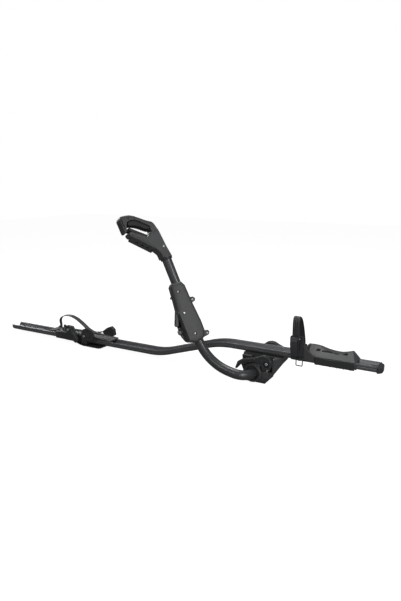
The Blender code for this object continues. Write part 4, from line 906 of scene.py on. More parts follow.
def make_front_strap():
    line = smooth_path(
        [
            (-0.0360, 0.0990), (-0.0360, 0.1350), (-0.0365, 0.1700), (-0.0360, 0.2020),
            (-0.0300, 0.2150), (-0.0190, 0.2140), (-0.0060, 0.2030), (0.0070, 0.1820), (0.0190, 0.1560),
            (0.0280, 0.1300), (0.0320, 0.1080),
        ],
        6,
    )
    middle = (STRAP_LEFT + STRAP_RIGHT) / 2
    path = [Vector((middle, point.x, point.y)) for point in line]
    section = flat_section(STRAP_RIGHT - STRAP_LEFT, STRAP_THICK, 3, 0.0009)
    band = swept("band", path, section, [(-1, 0, 0)] * len(path))
    for index in range(9):
        z = 0.1250 + 0.0065 * index
        cut(band, box((STRAP_LEFT + 0.005, -0.0400, z), (STRAP_RIGHT - 0.005, -0.0372, z + 0.0022)))
    settle(band, "front_strap_band", ROOT, "strap_plastic", "front_strap")

    base_outline = [
        (0.1005, 0.0860, 0.0015), (0.1380, 0.0860, 0.0015), (0.1380, 0.1600, 0.0015),
        (0.1005, 0.1600, 0.0015),
    ]
    base = crowned(base_outline, 0.0303, 0.0345, SIDE, 0.0004, 0.0010)
    for x in (STRAP_LEFT - 0.0027, STRAP_RIGHT + 0.0005):
        cheek = [(-0.0480, 0.1330, 0.003), (-0.0330, 0.1270), (-0.0330, 0.1600), (-0.0480, 0.1600, 0.004)]
        join(base, crowned(cheek, x, x + 0.0022, CROSS, 0.0004, 0.0004))
    lug = [(-0.0475, 0.0895, 0.002), (-0.0330, 0.0880), (-0.0330, 0.0990), (-0.0475, 0.0975, 0.002)]
    join(base, crowned(lug, 0.1268, 0.1338, CROSS, 0.0006, 0.0006))
    for centre, radius in ((BUCKLE_PIN, 0.0018 + GAP), (PAWL_PIN, 0.0015 + GAP)):
        cut(base, cylinder((0.095, *centre.yz), (0.135, *centre.yz), radius, sides=24))
    cut(base, cylinder((0.120, *BAIL_PIN.yz), (0.140, *BAIL_PIN.yz), 0.0019, sides=24))
    for index in range(5):
        z = 0.1010 + 0.0062 * index
        cut(base, box((0.1285, -0.0360, z), (0.1365, -0.0336, z + 0.0034), rounding=0.0004))
    settle(base, "buckle_frame", ROOT, "dark_plastic", "front_buckle_base")

    along = axis_frame((0.0, *BUCKLE_PIN.yz), (1, 0, 0))
    pin("front_lever_pin", ROOT, along, 0.0995, 0.1300, 0.0018)
    along = axis_frame((0.0, *PAWL_PIN.yz), (1, 0, 0))
    left, right = STRAP_LEFT + 0.0006, STRAP_RIGHT - 0.0006
    profile = [(0.0, 0.0995), (0.0015, 0.0995), (0.0015, left), (0.0026, left), (0.0030, left + 0.0004)]
    profile += [(0.0030, right - 0.0004), (0.0026, right), (0.0015, right), (0.0015, 0.1300), (0.0, 0.1300)]
    roller = turned(profile, along, 32)
    for spot in circle(0.0031, 8):
        cut(roller, cylinder((*spot, left - 0.001), (*spot, right + 0.001), 0.0006, along, sides=8))
    settle(roller, "front_pawl_roller", ROOT, "black_steel", "front_pawl")

    lever = [
        (-0.0462, 0.1585, 0.003), (-0.0398, 0.1585, 0.002), (-0.0396, 0.1480, 0.002),
        (-0.0470, 0.1430, 0.004), (-0.0440, 0.1200, 0.020), (-0.0400, 0.1010, 0.0018),
        (-0.0440, 0.0990, 0.0018), (-0.0560, 0.1280, 0.020), (-0.0545, 0.1480, 0.006),
    ]
    grip = crowned(lever, STRAP_LEFT + GAP, STRAP_RIGHT - GAP, CROSS, 0.0010, 0.0010)
    cut(grip, cylinder((0.095, *BUCKLE_PIN.yz), (0.135, *BUCKLE_PIN.yz), 0.0018 + GAP, sides=24))
    for index in range(5):
        z = 0.1080 + 0.0050 * index
        y = -0.0475 - 0.0020 * index
        cut(grip, cylinder((0.1000, y - 0.0006, z), (0.1300, y - 0.0006, z), 0.0008, sides=10))
    settle(grip, "buckle_lever", "front_lever", "dark_plastic", "front_buckle_lever")

    wire, corner = 0.0015, 0.0030
    loop = filleted(
        [
            (Vector((0.1205, BAIL_PIN.y, BAIL_PIN.z)), corner),
            (Vector((0.1395, BAIL_PIN.y, BAIL_PIN.z)), corner),
            (Vector((0.1395, BAIL_PIN.y, 0.0740)), corner),
            (Vector((0.1205, BAIL_PIN.y, 0.0740)), corner),
        ],
        step=math.radians(10),
    )
    settle(tube(loop, wire, sides=16, cyclic=True), "wire_bail", "bail", "black_steel", "front_bail")

    anchor = [
        (0.0303, 0.0900), (0.0380, 0.0900, 0.002), (0.0380, 0.1180, 0.003), (0.0345, 0.1180, 0.001),
        (0.0335, 0.1050), (0.0303, 0.1050),
    ]
    holder = crowned(anchor, STRAP_LEFT - 0.003, STRAP_RIGHT + 0.003, CROSS, 0.0008, 0.0008)
    for x in (0.1085, 0.1190):
        far = axis_frame((x, 0.0380, 0.0970), (0, 1, 0))
        cut(holder, cylinder((0, 0, -0.0015), (0, 0, 0.002), 0.0026, far, sides=24))
    settle(holder, "strap_anchor_block", ROOT, "dark_plastic", "front_strap_anchor")


# ---------------------------------------------------------------- rear wheel cradle


def make_rear_cradle():
    top = [(-0.868, 0.0355), (-0.800, 0.0390), (-0.745, 0.0400), (-0.690, 0.0400), (-0.640, 0.0375)]
    outline = [
        (REAR_REAR, 0.0108, 0.001), (REAR_REAR, 0.0320, 0.002),
        *top,
        (REAR_END, 0.0335, 0.001), (REAR_END, 0.0300), (-0.640, 0.0108, 0.001),
    ]
    body = crowned(outline[::-1], -0.0295, 0.0295, SIDE, 0.0010, 0.0012)
    wide, rail_top = RAIL_HALF + GAP, RAIL_LOW + RAIL_HEIGHT + GAP
    valley = [(-0.0150, 0.060), (-0.0150, 0.0370), (0.0, 0.0318), (0.0150, 0.0370), (0.0150, 0.060)]
    cut(
        body,
        box((-0.93, -wide, 0.0), (-0.55, wide, rail_top)),
        box((-0.93, -0.0350, 0.0), (-0.846, -0.0195, 0.060)),
        box((-0.690, -0.0350, 0.0), (-0.55, -RAIL_HALF, 0.060)),
        plate(valley, -0.8580, -0.560, CROSS),
    )
    lug = [
        (-0.8940, 0.0130, 0.001), (-0.8300, 0.0130, 0.001), (-0.8360, 0.0360, 0.010),
        (-0.8520, 0.0470, 0.004), (-0.8710, 0.0470, 0.004), (-0.8940, 0.0310, 0.004),
    ]
    join(body, crowned(lug, -0.0335, -0.0270, SIDE, 0.0010, 0.0008))
    cut(body, box((-0.8720, 0.0080, 0.0352), (-0.8575, 0.0400, 0.0600)))
    for index in range(17):
        x = -0.8380 + 0.0084 * index
        if -0.786 < x < -0.726 or x > -0.702:
            continue
        cut(body, box((x, -0.0310, 0.0150), (x + 0.0016, -0.0288, 0.0335)))
    cut(body, groove([(-0.8420, 0.0355), (-0.7000, 0.0370)], 0.0295, 0.0006, SIDE))
    for index in range(9):
        x = -0.6850 + 0.0100 * index
        cut(body, box((x, -0.0300, 0.0345), (x + 0.0014, -0.0160, 0.0420)))
    settle(body, "rear_cradle_moulding", "rear_holder", "moulded_plastic", "rear_cradle")
    at = axis_frame((-0.8500, 0.0, 0.0360), (0, 1, 0))
    bolt("rear_lug_socket_screw", "rear_holder", at, 0.0338, 0.0338, 0.0045, 0.0027, ("rear_lug_screw",))


REAR_STRAP_PATH = (
    (-0.8640, 0.0215, 0.0368), (-0.8648, 0.0218, 0.0480), (-0.8656, 0.0210, 0.0624),
    (-0.8602, 0.0180, 0.0740), (-0.8451, 0.0130, 0.0860), (-0.8197, 0.0060, 0.0950),
    (-0.7890, -0.0020, 0.0990), (-0.7569, -0.0100, 0.0960), (-0.7257, -0.0180, 0.0870),
    (-0.7008, -0.0250, 0.0775), (-0.6805, -0.0300, 0.0690), (-0.6505, -0.0350, 0.0620),
    (-0.6214, -0.0360, 0.0665), (-0.6060, -0.0360, 0.0705),
)


def make_rear_strap():
    path = smooth_path(REAR_STRAP_PATH, 8)
    across = []
    for index in range(len(path)):
        along = min(1.0, index / (len(path) * 0.5))
        across.append((-0.44 * (1 - along) - 0.05, 1.0, 0.0))
    band = swept("band", path, flat_section(0.020, STRAP_THICK, 4, 0.0004), across)
    settle(band, "rear_strap_band", "rear_holder", "strap_plastic", "rear_strap")

    end = REAR_STRAP_PATH[-1]
    outline = [
        (end[0] + 0.0016, end[2] - 0.0022, 0.001), (end[0] + 0.0100, end[2] - 0.0100, 0.010),
        (-0.5640, 0.0585, 0.003), (-0.5500, 0.0660, 0.004), (-0.5530, 0.0870, 0.006),
        (-0.5660, 0.0965, 0.004), (-0.5850, 0.0890, 0.020), (end[0] + 0.0016, end[2] + 0.0040, 0.001),
    ]
    depth = -end[1]
    grip = crowned(outline, depth - 0.0060, depth + 0.0060, SIDE, 0.0022, 0.0022, steps=5)
    for index in range(6):
        share = index / 5
        start = (-0.5960 + 0.0020 * share, 0.0700 + 0.0055 * share)
        finish = (-0.5570 - 0.0040 * share, 0.0655 + 0.0245 * share)
        cut(grip, groove([start, finish], depth + 0.0062, 0.0011, SIDE))
        cut(grip, groove([start, finish], depth - 0.0062, 0.0011, SIDE))
    settle(grip, "strap_pull_grip", "rear_holder", "strap_plastic", "rear_strap_grip")


def make_rear_ratchet():
    cover = [
        (-0.7005, 0.0430, 0.010), (-0.6930, 0.0700, 0.014), (-0.6700, 0.0790, 0.014),
        (-0.6440, 0.0700, 0.014), (-0.6350, 0.0480, 0.010), (-0.6500, 0.0300, 0.006),
        (-0.6920, 0.0280, 0.012),
    ]
    guide = crowned(cover[::-1], 0.0478, 0.0520, SIDE, 0.0008, (0.0020, 0.0016), steps=5)
    join(guide, box((-0.700, -0.0490, 0.0160), (-0.6765, -0.0298, 0.0500), rounding=0.0008))
    centre = Vector((-0.6680, 0.0545))
    for radius in (0.0180, 0.0145, 0.0110):
        loop = circle(radius, 28, centre)
        cut(guide, groove(loop, 0.0521, 0.0006, SIDE, closed=True, bend=0.0))
    for inner, outer in zip(circle(0.0120, 16, centre), circle(0.0136, 16, centre)):
        cut(guide, groove([inner, outer], 0.0521, 0.0007, SIDE))
    settle(guide, "strap_guide_cover", "rear_holder", "dark_plastic", "rear_strap_guide")
    at = near_side(-0.686, 0.0450)
    bolt("guide_socket_screw", "rear_holder", at, 0.0523, 0.0523, 0.0040, 0.0027, ("rear_guide_screw",))
    tab = [
        (-0.6680, 0.0485, 0.003), (-0.6750, 0.0420, 0.003), (-0.6620, 0.0230, 0.003),
        (-0.6560, 0.0250, 0.003), (-0.6610, 0.0430, 0.003),
    ]
    press = crowned(tab, 0.0400, 0.0470, SIDE, 0.0008, 0.0010)
    cut(press, cylinder((TAB_PIN.x, -0.060, TAB_PIN.z), (TAB_PIN.x, -0.030, TAB_PIN.z), 0.0018, sides=24))
    for index in range(3):
        z = 0.0270 + 0.0032 * index
        line = [(-0.6660 - 0.0010 * index, z - 0.0006), (-0.6560, z + 0.0016)]
        cut(press, groove(line, 0.0470, 0.0006, SIDE))
    settle(press, "strap_release_tab", "release_tab", "dark_plastic", "rear_release_tab")
    pin("rear_tab_pin", "rear_holder", near_side(TAB_PIN.x, TAB_PIN.z), 0.0303, 0.0475, 0.0015)

    lever = [
        (REAR_CAM.x - 0.0160, REAR_CAM.z + 0.0010, 0.012),
        (REAR_CAM.x - 0.0080, REAR_CAM.z + 0.0165, 0.012),
        (REAR_CAM.x + 0.0130, REAR_CAM.z + 0.0140, 0.012),
        (REAR_CAM.x + 0.0210, REAR_CAM.z - 0.0080, 0.012),
        (REAR_CAM.x + 0.0470, REAR_CAM.z - 0.0360, 0.008),
        (REAR_CAM.x + 0.0350, REAR_CAM.z - 0.0480, 0.004),
        (REAR_CAM.x + 0.0120, REAR_CAM.z - 0.0360, 0.012),
        (REAR_CAM.x + 0.0010, REAR_CAM.z - 0.0160, 0.010),
    ]
    handle = crowned(lever, 0.0425, 0.0540, SIDE, 0.0014, (0.0020, 0.0026), steps=5)
    at = near_side(REAR_CAM.x, REAR_CAM.z)
    dish = [(0.0, 0.0515), (0.0082, 0.0515), (0.0088, 0.0540), (0.0094, 0.0560), (0.0, 0.0560)]
    cut(handle, turned(dish, at, 48), cylinder((0, 0, 0.030), (0, 0, 0.060), 0.0036, at, sides=32))
    for lift in (0.0, 0.0050):
        line = [
            (REAR_CAM.x + 0.0150, REAR_CAM.z - 0.0090 - lift),
            (REAR_CAM.x + 0.0210, REAR_CAM.z - 0.0200 - lift),
            (REAR_CAM.x + 0.0340, REAR_CAM.z - 0.0320 - lift),
        ]
        path = [Vector((p.x, p.y, 0.0538)) for p in smooth_path(line, 6)]
        join(handle, tube(path, 0.0009, SIDE, sides=12))
    ring_at = near_side(REAR_CAM.x + 0.0370, REAR_CAM.z - 0.0385)
    rim = [(0.0016, 0.0530), (0.0028, 0.0530), (0.0028, 0.0545), (0.0016, 0.0545)]
    join(handle, turned(rim, ring_at, 24))
    settle(handle, "rear_cam_handle", "rear_lever", "dark_plastic", "rear_cam_lever")
    name, node = "rear_cam_socket_bolt", ("rear_cam_bolt",)
    bolt(name, "rear_holder", at, 0.0405, 0.0518, 0.0058, 0.0032, node, shank_radius=0.0033)
    bracket = [
        (REAR_CAM.x - 0.0230, 0.0150, 0.001), (REAR_CAM.x + 0.0300, 0.0150, 0.001),
        (REAR_CAM.x + 0.0200, 0.0450, 0.006), (REAR_CAM.x + 0.0110, REAR_CAM.z + 0.0100, 0.008),
        (REAR_CAM.x - 0.0110, REAR_CAM.z + 0.0100, 0.008), (REAR_CAM.x - 0.0200, 0.0450, 0.006),
    ]
    item = crowned(bracket, 0.0299, 0.0420, SIDE, 0.0008, 0.0018)
    start, end = (REAR_CAM.x, -0.060, REAR_CAM.z), (REAR_CAM.x, -0.0330, REAR_CAM.z)
    cut(item, cylinder(start, end, 0.0036, sides=32))
    for shift in (-0.0165, -0.0110):
        x = REAR_CAM.x + shift
        cut(item, groove([(x - 0.002, 0.0190), (x + 0.0015, 0.0440)], 0.0420, 0.0009, SIDE))
    settle(item, "cam_bracket_moulding", "rear_holder", "moulded_plastic", "rear_cam_bracket")


def make_rear_foot():
    low = 0.0030
    strip = [
        (STRIP_REAR, -STRIP_HALF + 0.012, 0.004), (STRIP_REAR + 0.030, -STRIP_HALF, 0.010),
        (STRIP_FRONT, -STRIP_HALF, 0.006), (STRIP_FRONT, STRIP_HALF, 0.006),
        (STRIP_REAR + 0.030, STRIP_HALF, 0.010), (STRIP_REAR, STRIP_HALF - 0.012, 0.004),
    ]
    foot = crowned(strip, low + GAP, RAIL_LOW - GAP, PLAN, 0.0008, 0.0012)
    for x in STRIP_BOLTS:
        cut(foot, cylinder((x, 0, -0.01), (x, 0, 0.012), 0.0031, sides=24))
    for index in range(7):
        x = -0.7080 + 0.0120 * index
        edge = -STRIP_HALF - 0.0012
        cut(foot, cylinder((x, edge, 0.0), (x, edge, 0.012), 0.0028, sides=20))
    settle(foot, "rear_strip_scalloped", "rear_foot", "black_steel", "rear_clamp_strip")
    rear, front = STRIP_REAR + 0.032, STRIP_FRONT - 0.012
    outline = [(rear, -0.034, 0.002), (front, -0.034, 0.002), (front, 0.034, 0.002), (rear, 0.034, 0.002)]
    pad = crowned(outline, 0.0, low, PLAN, 0.0006, 0.0005)
    for index in range(9):
        x = rear + 0.004 + 0.0086 * index
        cut(pad, box((x, -0.036, -0.001), (x + 0.0020, -0.0328, 0.0018)))
    settle(pad, "rear_rubber_pad", "rear_foot", "rubber", "rear_seat_pad")
    for end, x in zip(("rear", "front"), STRIP_BOLTS):
        make_t_bolt("rear_t_bolt_" + end, "rear_foot", x, RAIL_LOW, 0.0005)


# ---------------------------------------------------------------- arm


def make_arm_tube():
    corner = arm_point(-LOWER_BEND * math.tan(LOWER_TURN / 2))
    end_corner = Vector((PIVOT.x, ARM_PLANE, PIVOT.z))
    corners = [
        (arm_point(COLLAR_AT + 0.010), 0), (corner, LOWER_BEND), (end_corner, END_BEND),
        (Vector((PIVOT.x, -0.0121, PIVOT.z)), 0),
    ]
    path = filleted(corners, closed=False, step=math.radians(2.5))
    arm = tube(path, TUBE_RADIUS, sides=64)
    cut(arm, cylinder(arm_point(0.045), arm_point(COLLAR_AT + 0.020), TUBE_BORE, sides=48))
    cut(arm, box((-0.0200, 0.072, -0.0042), (-0.0080, 0.092, 0.0042), HOUSING))
    settle(arm, "bent_tube", "arm", "painted_tube", "arm_tube", sharp=30)


HOUSING_OUTLINE = (
    (0.016, 0.001, 0.006), (0.027, 0.020, 0.012), (0.0275, 0.052, 0.03), (0.0225, 0.115, 0.03),
    (0.0205, 0.172, 0.006), (0.0120, 0.1885, 0.006), (-0.0190, 0.1895, 0.006), (-0.0260, 0.1810, 0.010),
    (-0.0300, 0.1400, 0.03), (-0.0340, 0.1080, 0.010), (-0.0430, 0.0880, 0.012),
    (-0.0460, 0.0600, 0.02), (-0.0455, 0.0280, 0.02), (-0.0380, 0.0060, 0.016),
    (-0.0120, -0.0050, 0.03), (0.0040, -0.0030, 0.012),
)
LUG_OUTLINES = (
    (
        (0.0170, 0.1130), (0.0330, 0.1150, 0.005), (0.0385, 0.1225, 0.005), (0.0325, 0.1305, 0.005),
        (0.0170, 0.1330),
    ),
    (
        (0.0120, 0.0010), (0.0350, 0.0030, 0.005), (0.0420, 0.0100, 0.005), (0.0380, 0.0180, 0.005),
        (0.0220, 0.0220),
    ),
)

# The cut beside the lock: a point on its face, the way up the face and the way out of it.
LATCH_EDGE = Vector((-0.0310, 0.0195))
LATCH_SLOPE = Vector((math.sin(LATCH_LEAN), math.cos(LATCH_LEAN)))
LATCH_FACE = Vector((-LATCH_SLOPE.y, LATCH_SLOPE.x))
LATCH_SIDE = (
    LATCH_EDGE + 0.0120 * LATCH_SLOPE,
    LATCH_EDGE - 0.0224 * LATCH_SLOPE,
    (-0.0700, -0.0010), (-0.0700, 0.0305),
)
SMALL_LUG = (
    (-0.0270, 0.1440), (-0.0345, 0.1452, 0.002), (-0.0362, 0.1485, 0.002), (-0.0345, 0.1520, 0.002),
    (-0.0260, 0.1535),
)
FRONT_SCREWS = ((-0.010, 0.160), (-0.016, 0.093), (-0.008, 0.023))
LUG_SCREWS = ((0.0270, 0.1225), (0.0325, 0.0105))


def make_housing():
    low, high = GAP / 2, HOUSING_HALF
    mirrored = HOUSING @ Matrix.Diagonal((1, 1, -1, 1))
    for name, at in (("housing_front", HOUSING), ("housing_rear", mirrored)):
        shell = crowned(HOUSING_OUTLINE, low, high, at, 0.0005, (0.0085, 0.0100), rise=0.0006, steps=8)
        for lug in LUG_OUTLINES:
            join(shell, crowned(lug, low, low + 0.0075, at, 0.0003, 0.0012))
        join(shell, crowned(SMALL_LUG, low, low + 0.0035, at, 0.0003, 0.0010))
        cut(shell, cylinder((0, -0.030, 0), (0, 0.210, 0), TUBE_RADIUS + 0.0005, at, sides=64))
        cut(shell, box((-0.070, 0.0560, -0.0088), (-0.0300, 0.1010, 0.0088), at))
        cut(shell, box((-0.031, 0.0765, -0.0046), (-0.008, 0.0875, 0.0046), at))
        cut(shell, cylinder(*LOCK_BORE, 0.0098, HOUSING, sides=48))
        if name == "housing_front":
            cut(shell, plate(LATCH_SIDE, -0.0960, -0.0100, at @ SIDE))
            for x, y in FRONT_SCREWS:
                ring = [(0.0, 0.0184), (0.0046, 0.0184), (0.0052, 0.0196), (0.0062, 0.0215), (0.0, 0.0215)]
                cut(shell, turned(ring, at @ Matrix.Translation((x, y, 0)), 36))
            mark = circle(0.0021, 18, (0.0093, 0.1725))
            cut(shell, groove(mark, 0.0190, 0.0006, at, closed=True, bend=0.0))
        for depth, inset in ((0.0078, 0.0), (0.0116, 0.0003), (0.0150, 0.0016)):
            points = ((-0.0328, 0.1150), (-0.0300, 0.1400), (-0.0276, 0.1640), (-0.0268, 0.1740))
            path = [Vector((x + inset, y, depth)) for x, y in points]
            cut(shell, tube(path, 0.0010, at, sides=10))
        settle(shell, name + "_shell", "arm", "moulded_plastic", name, sharp=38)


def make_latch_side_shade():
    """A thin dark plate laid on the sloping side of the front shell round the trigger and the lock: painted
    shade on the side that faces away from the key light.
    """
    low, high = LATCH_EDGE - 0.0205 * LATCH_SLOPE, LATCH_EDGE - 0.0030 * LATCH_SLOPE
    outline = [low + 0.0002 * LATCH_FACE, high + 0.0002 * LATCH_FACE]
    outline += [high + 0.0016 * LATCH_FACE, low + 0.0016 * LATCH_FACE]
    panel = plate(outline, -0.0925, -0.0135, HOUSING @ SIDE, 0.0003)
    cut(panel, box((-0.070, 0.0560, -0.0095), (-0.0200, 0.1010, 0.0095), HOUSING))
    cut(panel, cylinder(*LOCK_BORE, 0.0100, HOUSING, sides=48))
    for y in (0.0200, 0.0240, 0.0280):
        ridge = [Vector((*(low + 0.0016 * LATCH_FACE), -y)), Vector((*(high + 0.0016 * LATCH_FACE), -y))]
        cut(panel, tube(ridge, 0.0005, HOUSING @ SIDE, sides=8))
    # The dark finish of this plate paints the shade of the sloping side round the trigger and the lock.
    settle(panel, "latch_side_shade_plate", "arm", "dark_plastic")


def make_arm_details():
    for index, (x, y) in enumerate(FRONT_SCREWS):
        at = HOUSING @ Matrix.Translation((x, y, 0))
        name = f"housing_screw_{index + 1}"
        radius = 0.0036 if index == 1 else 0.0029
        bolt(name + "_head", "arm", at, 0.0186, 0.0186, radius, 0.0022, (name,))
    for index, (x, y) in enumerate(LUG_SCREWS):
        at = HOUSING @ Matrix.Translation((x, y, 0))
        name = f"lug_screw_{index + 1}"
        bolt(name + "_head", "arm", at, 0.0078, 0.0078, 0.0026, 0.0014, (name,))
    at = HOUSING @ axis_frame(LOCK_CENTRE, LOCK_OUT)
    bezel = [
        (0.0074, -0.0080), (0.0090, -0.0080), (0.0094, -0.0074), (0.0094, 0.0032), (0.0091, 0.0041),
        (0.0085, 0.0046), (0.0079, 0.0044), (0.0074, 0.0036),
    ]
    settle(turned(bezel, at, 64), "lock_bezel_ring", "arm", "dark_plastic", "lock_bezel")
    barrel = [
        (0.0, -0.0120), (0.0064, -0.0120), (0.0070, -0.0114), (0.0070, 0.0036), (0.0066, 0.0046),
        (0.0058, 0.0052), (0.0050, 0.0050), (0.0044, 0.0046), (0.0, 0.0047),
    ]
    core = turned(barrel, at, 64)
    cut(core, box((-0.0009, -0.0032, 0.0010), (0.0009, 0.0032, 0.0080), at))
    settle(core, "lock_core", "lock", "bright_steel", "lock_barrel")

    trigger = [
        (-0.0330, 0.0990, 0.002), (-0.0385, 0.0995, 0.003), (-0.0450, 0.0860, 0.020),
        (-0.0530, 0.0680, 0.004), (-0.0510, 0.0610, 0.002), (-0.0440, 0.0620, 0.003),
        (-0.0380, 0.0780, 0.020), (-0.0310, 0.0930, 0.003),
    ]
    item = crowned(trigger[::-1], -0.0082, 0.0082, HOUSING, 0.0018, 0.0018, steps=5)
    cut(item, cylinder((*TRIGGER_PIN, -0.02), (*TRIGGER_PIN, 0.02), 0.0015 + GAP, HOUSING, sides=24))
    for index in range(5):
        x, y = -0.0536 + 0.0021 * index, 0.0690 + 0.0040 * index
        cut(item, cylinder((x, y, -0.0120), (x, y, 0.0120), 0.0008, HOUSING, sides=10))
    settle(item, "trigger_grip", "trigger", "dark_plastic", "trigger")
    at = HOUSING @ Matrix.Translation((*TRIGGER_PIN, 0))
    pin("trigger_pin", "arm", at, -0.0086, 0.0086, 0.0015)
    outline = [
        (-0.0240, 0.0780, 0.0008), (-0.0150, 0.0780, 0.0008), (-0.0124, 0.0800, 0.0008),
        (-0.0124, 0.0860, 0.0008), (-0.0240, 0.0860, 0.0008),
    ]
    tooth = crowned(outline, -0.0036, 0.0036, HOUSING, 0.0004, 0.0004)
    settle(tooth, "latch_tooth", "pawl", "black_steel", "latch_pawl")


# ---------------------------------------------------------------- claw


def make_claw():
    body = [
        (0.0100, -0.0030, 0.001), (0.0095, 0.0200, 0.020), (0.0040, 0.0760, 0.050),
        (0.0008, SEAM_AT + 0.006), (-0.0212, SEAM_AT + 0.006), (-0.0214, SEAM_AT - 0.0010, 0.002),
        (-0.0270, 0.0820, 0.008), (-0.0390, 0.0725, 0.006), (-0.0905, 0.1055, 0.003),
        (-0.0955, 0.0975, 0.004), (-0.0935, 0.0900, 0.006), (-0.0700, 0.0685, 0.030),
        (-0.0440, 0.0440, 0.030), (-0.0285, 0.0290, 0.020), (-0.0190, 0.0150, 0.010),
        (-0.0180, -0.0030, 0.001),
    ]
    claw = crowned(body, -CLAW_HALF, CLAW_HALF, CLAW, (0.0032, 0.0048), (0.0032, 0.0048), steps=6)
    cut(claw, box((-0.0500, SEAM_AT, -0.030), (0.0300, SEAM_AT + 0.020, 0.030), CLAW))
    join(claw, cylinder((0, -0.0040, 0), (0, 0.0340, 0), 0.0198, CLAW, sides=64, far_radius=0.0140))
    cut(claw, cylinder((0, -0.020, 0), (0, 0.0130, 0), TUBE_RADIUS + 0.0005, CLAW, sides=64))
    low = (LEG_LEFT - 0.0004, 0.0120, -LEG_HALF - 0.0004)
    high = (LEG_RIGHT + 0.0004, 0.1200, LEG_HALF + 0.0004)
    cut(claw, box(low, high, CLAW))
    flank_start = Vector((-0.0285, 0.0290, 0.0))
    edge = Vector((-0.0650, 0.0610, 0.0)).normalized()
    outward = Vector((-edge.y, edge.x, 0.0))
    flank = Matrix((outward, (0, 0, 1), edge)).transposed().to_4x4()
    flank.translation = flank_start
    slope = [(-0.0050, -0.0165), (0.0055, -0.0165, 0.002), (0.0062, -0.0120, 0.003)]
    slope += [(-0.0005, 0.0140), (-0.0050, 0.0140)]
    join(claw, crowned(slope, 0.0030, 0.0830, CLAW @ flank, 0.0020, 0.0030))
    for along in (0.0068, 0.0239, 0.0418, 0.0604):
        centre = flank_start + edge * along
        cut(claw, cylinder(centre - 0.011 * outward, centre + 0.020 * outward, 0.0048, CLAW, sides=32))
    cut(claw, cylinder((-0.0905, 0.1040, -0.030), (-0.0905, 0.1040, 0.030), 0.0046, CLAW, sides=32))
    side_line = [(-0.0265, 0.0350), (-0.0430, 0.0510), (-0.0690, 0.0755), (-0.0880, 0.0930)]
    cut(claw, groove(side_line, CLAW_HALF, 0.0009, CLAW, bend=0.02))
    cut(claw, groove([(-0.0210, 0.0790), (-0.0060, 0.0850)], CLAW_HALF, 0.0007, CLAW))
    settle(claw, "claw_lower_jaw", "claw", "moulded_plastic", "claw_body", sharp=38)

    seam = SEAM_AT + GAP
    outer = [
        (0.0014, seam - 0.008), (0.0008, seam + 0.0020, 0.010), (-0.0030, 0.1060, 0.010),
        (-0.0080, 0.1140, 0.010), (-0.0250, 0.1230, 0.030), (-0.0580, 0.1455, 0.030),
        (-0.0730, 0.1520, 0.020), (-0.0890, 0.1535, 0.010), (-0.1010, 0.1535, 0.006),
        (-0.1060, 0.1460, 0.006), (-0.1050, 0.1040, 0.003), (-0.0980, 0.1020, 0.003),
        (-0.0945, 0.1130, 0.006), (-0.0900, 0.1240, 0.006), (-0.0850, 0.1315, 0.006),
        (-0.0730, 0.1355, 0.010), (-0.0545, 0.1295, 0.030), (-0.0340, 0.1140, 0.030),
        (-0.0212, 0.1020, 0.003), (-0.0212, seam - 0.008),
    ]
    hook = crowned(outer, -HOOK_HALF, HOOK_HALF, CLAW, (0.0026, 0.0044), (0.0026, 0.0044), steps=6)
    cut(hook, box((-0.0500, 0.0600, -0.030), (0.0300, seam, 0.030), CLAW))
    join(hook, box((LEG_LEFT, 0.0220, -LEG_HALF), (LEG_RIGHT, 0.0950, LEG_HALF), CLAW))
    border = [
        (-0.0100, 0.1085), (-0.0270, 0.1185), (-0.0580, 0.1400), (-0.0740, 0.1465), (-0.0980, 0.1478),
        (-0.1008, 0.1440), (-0.1002, 0.1130),
    ]
    cut(hook, groove(border, HOOK_HALF + 0.0001, 0.0009, CLAW, bend=0.006))
    for x, y in ((-0.0790, 0.1425), (-0.0600, 0.1365)):
        recess = [(0.0, 0.0150), (0.0022, 0.0150), (0.0026, 0.0180), (0.0, 0.0180)]
        cut(hook, turned(recess, CLAW @ Matrix.Translation((x, y, 0)), 24))
    for index in range(5):
        y = 0.1120 + 0.0058 * index
        cut(hook, box((-0.1080, y, -0.0110), (-0.1046, y + 0.0022, 0.0110), CLAW))
    settle(hook, "claw_upper_hook", "hook", "moulded_plastic", "claw_hook", sharp=38)

    arch = [(-0.0842, 0.1308), (-0.0725, 0.1352), (-0.0545, 0.1291), (-0.0345, 0.1138), (-0.0216, 0.1018)]
    grip = [(-0.0240, 0.0945), (-0.0345, 0.1000), (-0.0520, 0.1120), (-0.0690, 0.1200), (-0.0830, 0.1235)]
    back = [(point.x - 0.0004, point.y - 0.0014) for point in smooth_path(arch, 5)]
    teeth = []
    for index, point in enumerate(smooth_path(grip, 8)):
        teeth.append((point.x, point.y - (0.0028 if index % 2 else 0.0)))
    pad = plate(back + teeth, -0.0130, 0.0130, CLAW, 0.0003, 1)
    settle(pad, "serrated_pad", "hook", "rubber", "hook_pad")
    pad_line = [
        (-0.0400, 0.0742), (-0.0375, 0.0792, 0.0012), (-0.0870, 0.1165, 0.0012), (-0.0890, 0.1060),
    ]
    pad = crowned(pad_line, -0.0140, 0.0140, CLAW, 0.0008, 0.0008)
    step = Vector((-0.0495, 0.0373, 0.0)).normalized()
    for index in range(9):
        spot = Vector((-0.0412, 0.0826, 0.0)) + step * (0.0058 * index)
        cut(pad, cylinder((*spot.xy, -0.02), (*spot.xy, 0.02), 0.0011, CLAW, sides=12))
    settle(pad, "ribbed_jaw_pad", "claw", "rubber", "jaw_pad")
    up = CLAW @ axis_frame((0, 0, 0), (0, 1, 0))
    ring = [
        (0.0153, -0.0090), (0.0180, -0.0090), (0.0186, -0.0083), (0.0186, -0.0074), (0.0180, -0.0070),
        (0.0180, -0.0063), (0.0186, -0.0059), (0.0186, -0.0050), (0.0181, -0.0043), (0.0153, -0.0043),
    ]
    settle(turned(ring, up, 64), "grooved_collar", "arm", "dark_plastic", "claw_collar")
